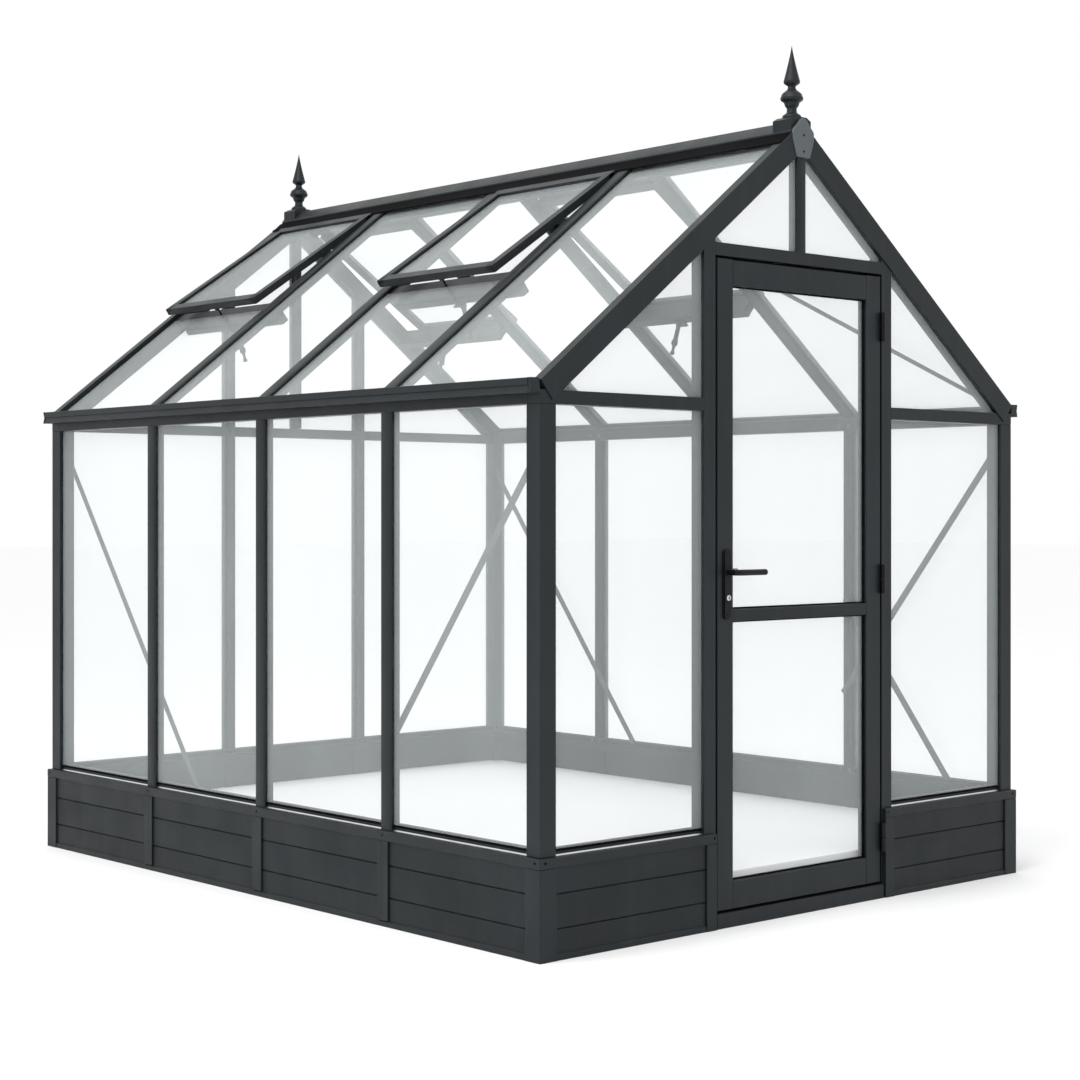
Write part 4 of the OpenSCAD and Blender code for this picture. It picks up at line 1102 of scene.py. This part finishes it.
class GREENHOUSE_OT_door_frame(Operator):
    """Door posts with their stops, threshold and weather seals"""

    bl_idname = "greenhouse.door_frame"
    bl_label = "Door frame"

    def execute(self, context):
        leaf_t = LEAF_HIGH[1] - LEAF_LOW[1]
        stop = leaf_t + 0.006
        top = roof_z(POST_IN) - RAFTER_DEEP / COS
        inner, outer = -POST_IN, -POST_OUT
        post = [(outer, 0), (inner, 0), (inner, GABLE_D), (outer, GABLE_D), (outer, CAP_T + GLASS_T),
                (outer + 0.001, CAP_T + GLASS_T), (outer + 0.001, CAP_T), (outer, CAP_T)]
        jamb = sweep([(x - inner, y) for x, y in post], (inner, -HALF_L, 0), (inner, -HALF_L, top), X, Y, (0, 0),
                     (TAN, 0))
        stops = block((inner, -HALF_L + stop, THRESHOLD_TOP), (inner + 0.014, -HALF_L + GABLE_D, LINTEL_LOW))
        frame_piece("door_jambs", both_sides([jamb, stops]), ["door_posts"])
        z = THRESHOLD_TOP
        y0, y1 = THRESHOLD_Y, -HALF_L + GABLE_D
        deep = y1 - y0
        tread = [(0, 0), (deep, 0), (deep, z), (deep - 0.010, z)]
        for k in range(3):
            y = deep - 0.014 - k * 0.008
            tread += [(y, z), (y - 0.001, z - 0.002), (y - 0.003, z - 0.002), (y - 0.004, z)]
        tread += [(0.004, z), (0, z - 0.003)]
        sill = sweep(tread, (-POST_IN, y0, 0), (POST_IN, y0, 0), Y, Z)
        frame_piece("door_threshold", [sill], ["threshold"], 0.0006)
        s, half, low = -HALF_L + stop, POST_IN - 0.014, THRESHOLD_TOP
        seals = both_sides([block((inner + 0.0005, s - 0.005, low), (inner + 0.013, s, LINTEL_LOW))])
        for z0, z1 in ((LINTEL_LOW - 0.012, LINTEL_LOW), (low, LEAF_LOW[2] + 0.006)):
            seals.append(block((-half, s - 0.004, z0), (half, s + 0.004, z1)))
        seals.append(block((-POST_IN + 0.001, -HALF_L + 0.0015, low - 0.0005),
                           (POST_IN - 0.001, s - 0.002, low + 0.0035)))
        seal_and_shade_piece("door_weather_seals", seals, round_edge=0.0005)
        return {"FINISHED"}


class GREENHOUSE_OT_door_leaf(Operator):
    """Door stiles and rails with glazing beads and seals"""

    bl_idname = "greenhouse.door_leaf"
    bl_label = "Door leaf"

    def execute(self, context):
        low, high = LEAF_LOW, LEAF_HIGH
        t = high[1] - low[1]
        w, bead = STILE_W, 0.006
        stile = [(0, 0), (w - 0.001, 0), (w, 0.002), (w, bead), (w - 0.003, bead), (w - 0.003, t - bead),
                 (w, t - bead), (w, t), (0, t)]
        a, b = (low[0], low[1], low[2]), (low[0], low[1], high[2])
        left = sweep(stile, a, b, X, Y)
        right = flipped(left, 0)
        frame_piece("door_side_stiles", [left, right], ["door_stiles"], 0.0010, "door")
        x0, x1 = low[0] + w + 0.0006, high[0] - w - 0.0006
        rails, seals = [], []
        glass_y = low[1] + t / 2
        edges = ((low[2], low[2] + FOOT_RAIL_H), (MID_RAIL_Z - MID_RAIL_H / 2, MID_RAIL_Z + MID_RAIL_H / 2),
                 (high[2] - HEAD_RAIL_H, high[2]))
        for z0, z1 in edges:
            outline = [(0.0004, z0), (0.0004, z1 - 0.004), (0.004, z1), (t - 0.004, z1), (t, z1 - 0.004),
                       (t, z0 + 0.004), (t - 0.004, z0), (0.004, z0)]
            rails.append(sweep(outline, (x0, low[1], 0), (x1, low[1], 0), Y, Z))
        frame_piece("door_cross_rails", rails, ["door_rails"], 0.0008, "door")
        for (_, z0), (z1, _) in zip(edges, edges[1:]):
            for y in (glass_y - GLASS_T / 2 - 0.004, glass_y + GLASS_T / 2):
                for x in (x0 - 0.0006, x1 - 0.0044):
                    seals.append(block((x, y, z0), (x + 0.005, y + 0.004, z1)))
                for z in (z0, z1 - 0.004):
                    seals.append(block((x0, y, z), (x1, y + 0.004, z + 0.004)))
        seal_and_shade_piece("door_glass_seals", seals, "door", 0.0006)
        return {"FINISHED"}


class GREENHOUSE_OT_door_fittings(Operator):
    """Hinges, backplates, lever handles and the lock cylinder"""

    bl_idname = "greenhouse.door_fittings"
    bl_label = "Door fittings"

    def execute(self, context):
        self.hinges()
        self.handle()
        return {"FINISHED"}

    def hinges(self):
        """Butt hinges: a lower knuckle and leaf on the post, an upper knuckle and leaf on the door, domed pin ends."""
        pin_y, height, r = -HALF_L - HINGE_OUT, HINGE_H, HINGE_R
        mid, leaf_t, leaf_end = height / 2, 0.0024, pin_y + 0.032
        edge = LEAF_HIGH[0]
        fixed, moving = [], []
        for z in HINGE_FEET:
            at = np.array([HINGE_X, pin_y, z])
            knuckle = [(r - 0.001, 0.0), (r, 0.001), (r, mid - 0.0016), (r - 0.001, mid - 0.0006)]
            fixed.append(lathe(knuckle, at, Z, 24))
            fixed.append(lathe([(0.003, 0), (0.0055, 0.0005), (0.0055, 0.002)], at, Z, 16))
            moving.append(lathe(knuckle, at + Z * (mid + 0.0004), Z, 24))
            pin_end = [(0.0052, -0.001), (0.0052, 0.0006), (0.003, 0.0018)]
            moving.append(lathe(pin_end, at + Z * (height - 0.0018), Z, 16))
            fixed.append(block((POST_IN - leaf_t, pin_y, z + 0.0005), (POST_IN, leaf_end, z + mid - 0.001)))
            moving.append(block((edge, pin_y, z + mid + 0.001), (edge + leaf_t, leaf_end, z + height - 0.0005)))
        fitting_piece("hinges_on_post", fixed, "house", ["hinge_frame_leaves"], 0.0003)
        fitting_piece("hinges_on_door", moving, "door", ["hinge_door_leaves"], 0.0003)

    def handle(self):
        """Rounded backplates on both faces, a lever on each and a lock cylinder with a key slot."""
        plate_low, plate_high = node_box("door_backplates")
        lever_z = (LEVER_LOW[2] + LEVER_HIGH[2]) / 2
        lock_z = np.mean(node_box("lock_cylinder"), 0)[2]
        x, _, plate_z = (plate_low + plate_high) / 2
        half_w, _, half_h = (plate_high - plate_low) / 2
        front, back = LEAF_LOW[1], LEAF_HIGH[1]
        t = front - plate_low[1]
        plates, screws, locks = [], [], []
        for y, out in ((front, -Y), (back, Y)):
            centre = np.array([x, y, plate_z])
            plates.append(sweep(rounded(half_w, half_h, 0.0125, 6), centre, centre + out * (t * 0.55), X, Z))
            plates.append(sweep(rounded(half_w - 0.003, half_h - 0.003, 0.0100, 6), centre + out * (t * 0.5),
                                centre + out * (t - 0.0005), X, Z))
            rose = np.array([x, y, lever_z]) + out * (t * 0.6)
            plates.append(lathe([(0.0125, 0), (0.0125, 0.002), (0.0105, 0.0032), (0.0086, 0.0032)], rose, out, 24))
            for dz in (-half_h + 0.014, half_h - 0.014):
                screws.append(screw_head(centre + out * (t - 0.0008) + Z * dz, out, 0.0035))
            face = np.array([x, y, lock_z]) + out * (t - 0.001)
            locks.append(lathe([(0.0083, 0), (0.0083, 0.0035), (0.0072, 0.0048), (0.0028, 0.0048), (0.0024, 0.0038)],
                               face, out, 28))
            slot = rounded(0.0009, 0.0050, 0.0006, 2)
            screws.append(sweep(slot, face + out * 0.0030 - Z * 0.0005, face + out * 0.0049 - Z * 0.0005, X, Z))
        fitting_piece("handle_backplates", plates, "door", ["door_backplates"], 0.0008)
        fitting_piece("handle_screws", screws, "door")
        make_piece("key_cylinder", locks, "bright_steel", "door", ["lock_cylinder"], 0)
        reach_front, reach_back = LEVER_LOW[1] + 0.009, LEVER_HIGH[1] - 0.009
        end_x, turn = LEVER_HIGH[0], 0.012
        shapes = [lathe([(0.0078, 0), (0.0078, reach_back - reach_front)], (x, reach_front, lever_z), Y, 20)]
        a = np.linspace(0, math.pi / 2, 8)
        for y, out in ((reach_front, -1), (reach_back, 1)):
            bend = np.stack([x + turn * (1 - np.cos(a)), y - out * turn * (1 - np.sin(a)), np.full(8, lever_z)], 1)
            tail_x = np.linspace(x + 0.016, end_x - 0.004, 10)
            tail = np.stack([tail_x, np.full(10, y), np.full(10, lever_z)], 1)
            path = np.vstack([bend, tail, [[end_x - 0.001, y, lever_z]]])
            radii = np.concatenate([np.full(8, 0.0084), np.linspace(0.0088, 0.0086, 10), [0.0055]])
            shapes.append(bent_bar(path, radii, Z, 20))
        fitting_piece("lever_handles", shapes, "lever", ["lever"])


class GREENHOUSE_OT_glazing(Operator):
    """Gives the glass its finish"""

    bl_idname = "greenhouse.glazing"
    bl_label = "Glass"

    def execute(self, context):
        glass = finish_named("clear_glass")
        for name in ("side_wall_glass", "end_wall_glass", "gable_glass", "roof_glass_left", "roof_glass_right",
                     "vent_glass", "door_glass"):
            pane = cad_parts[name]
            for index in range(max(1, len(pane.material_slots))):
                if not pane.material_slots:
                    pane.data.materials.append(glass)
                pane.material_slots[index].material = glass
        return {"FINISHED"}


class GREENHOUSE_OT_stage(Operator):
    """Pale floor, white surroundings, soft lights and the camera"""

    bl_idname = "greenhouse.stage"
    bl_label = "Floor, light and camera"

    def execute(self, context):
        settings = context.scene.greenhouse_stage
        floor_reach = 60.0
        mesh = bpy.data.meshes.new("floor")
        square = np.array([(-1, -1, 0), (1, -1, 0), (1, 1, 0), (-1, 1, 0)], float) * floor_reach
        mesh.from_pydata(square.tolist(), [], [(0, 1, 2, 3)])
        mesh.materials.append(finish_named("pale_floor"))
        floor = bpy.data.objects.new("floor", mesh)
        context.scene.collection.objects.link(floor)
        inner_x = PANEL_X - PANEL_T
        rear_y = BASE_Y - (BASE_X - PANEL_X) - PANEL_T
        front_y = -HALF_L + GABLE_D + 0.001
        mid_y = (front_y + rear_y) / 2
        outline = rounded(inner_x, rear_y - mid_y, 0.004, 2)
        bed = bpy.data.meshes.new("ground_inside")
        corners, faces = sweep(outline, (0, mid_y, 0.0005), (0, mid_y, settings.ground_inside), X, Y)
        bed.from_pydata(corners.tolist(), [], faces)
        bed.materials.append(finish_named("pale_floor"))
        bed_piece = bpy.data.objects.new("ground_inside", bed)
        context.scene.collection.objects.link(bed_piece)
        world = bpy.data.worlds.new("white_surroundings")
        world.use_nodes = True
        world.node_tree.nodes["Background"].inputs["Color"].default_value = (1, 1, 1, 1)
        world.node_tree.nodes["Background"].inputs["Strength"].default_value = settings.sky
        context.scene.world = world
        light = bpy.data.lights.new("overhead", "AREA")
        light.energy = settings.key
        light.size = 5.0
        lamp = bpy.data.objects.new("overhead", light)
        lamp.location = (-3.5, -1.5, 6.0)
        lamp.rotation_euler = (np.radians(12), np.radians(-30), 0)
        context.scene.collection.objects.link(lamp)
        lens = bpy.data.cameras.new("camera")
        lens.lens = settings.lens
        lens.sensor_width = 36.0
        lens.shift_x, lens.shift_y = settings.shift
        lens.clip_end = 200.0
        camera = bpy.data.objects.new("camera", lens)
        camera.location = settings.eye
        camera.rotation_euler = (math.pi / 2, 0, -settings.heading)
        context.scene.collection.objects.link(camera)
        context.scene.camera = camera
        context.scene.view_settings.view_transform = "Standard"
        return {"FINISHED"}


OPERATORS = (
    GREENHOUSE_OT_stage, GREENHOUSE_OT_plinth_boards, GREENHOUSE_OT_plinth_posts, GREENHOUSE_OT_plinth_caps,
    GREENHOUSE_OT_wall_posts, GREENHOUSE_OT_wall_rails, GREENHOUSE_OT_gutters, GREENHOUSE_OT_roof_bars,
    GREENHOUSE_OT_ridge, GREENHOUSE_OT_vents, GREENHOUSE_OT_braces, GREENHOUSE_OT_door_frame,
    GREENHOUSE_OT_door_leaf, GREENHOUSE_OT_door_fittings, GREENHOUSE_OT_glazing,
)


class GREENHOUSE_PT_pieces(Panel):
    """Sidebar panel with the settings and one button for each operator"""

    bl_idname = "GREENHOUSE_PT_pieces"
    bl_label = "Greenhouse"
    bl_space_type = "VIEW_3D"
    bl_region_type = "UI"
    bl_category = "Greenhouse"

    def draw(self, context):
        for group in (context.scene.greenhouse_sizes, context.scene.greenhouse_finishes,
                      context.scene.greenhouse_stage):
            box = self.layout.box()
            for name in group.__annotations__:
                box.prop(group, name)
        for operator in OPERATORS:
            self.layout.operator(operator.bl_idname)


GROUPS = {"greenhouse_sizes": GreenhouseSizes, "greenhouse_finishes": GreenhouseFinishes,
          "greenhouse_stage": GreenhouseStage}


def register():
    """Registers the settings, the operators and the panel."""
    for name, group in GROUPS.items():
        bpy.utils.register_class(group)
        setattr(bpy.types.Scene, name, PointerProperty(type=group))
    for item in (*OPERATORS, GREENHOUSE_PT_pieces):
        bpy.utils.register_class(item)


def unregister():
    """Takes everything off again."""
    for item in (GREENHOUSE_PT_pieces, *reversed(OPERATORS)):
        bpy.utils.unregister_class(item)
    for name, group in GROUPS.items():
        delattr(bpy.types.Scene, name)
        bpy.utils.unregister_class(group)


def main():
    """Registers the add-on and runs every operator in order."""
    register()
    for operator in OPERATORS:
        area, name = operator.bl_idname.split(".")
        getattr(getattr(bpy.ops, area), name)()


if __name__ == "__main__":
    main()
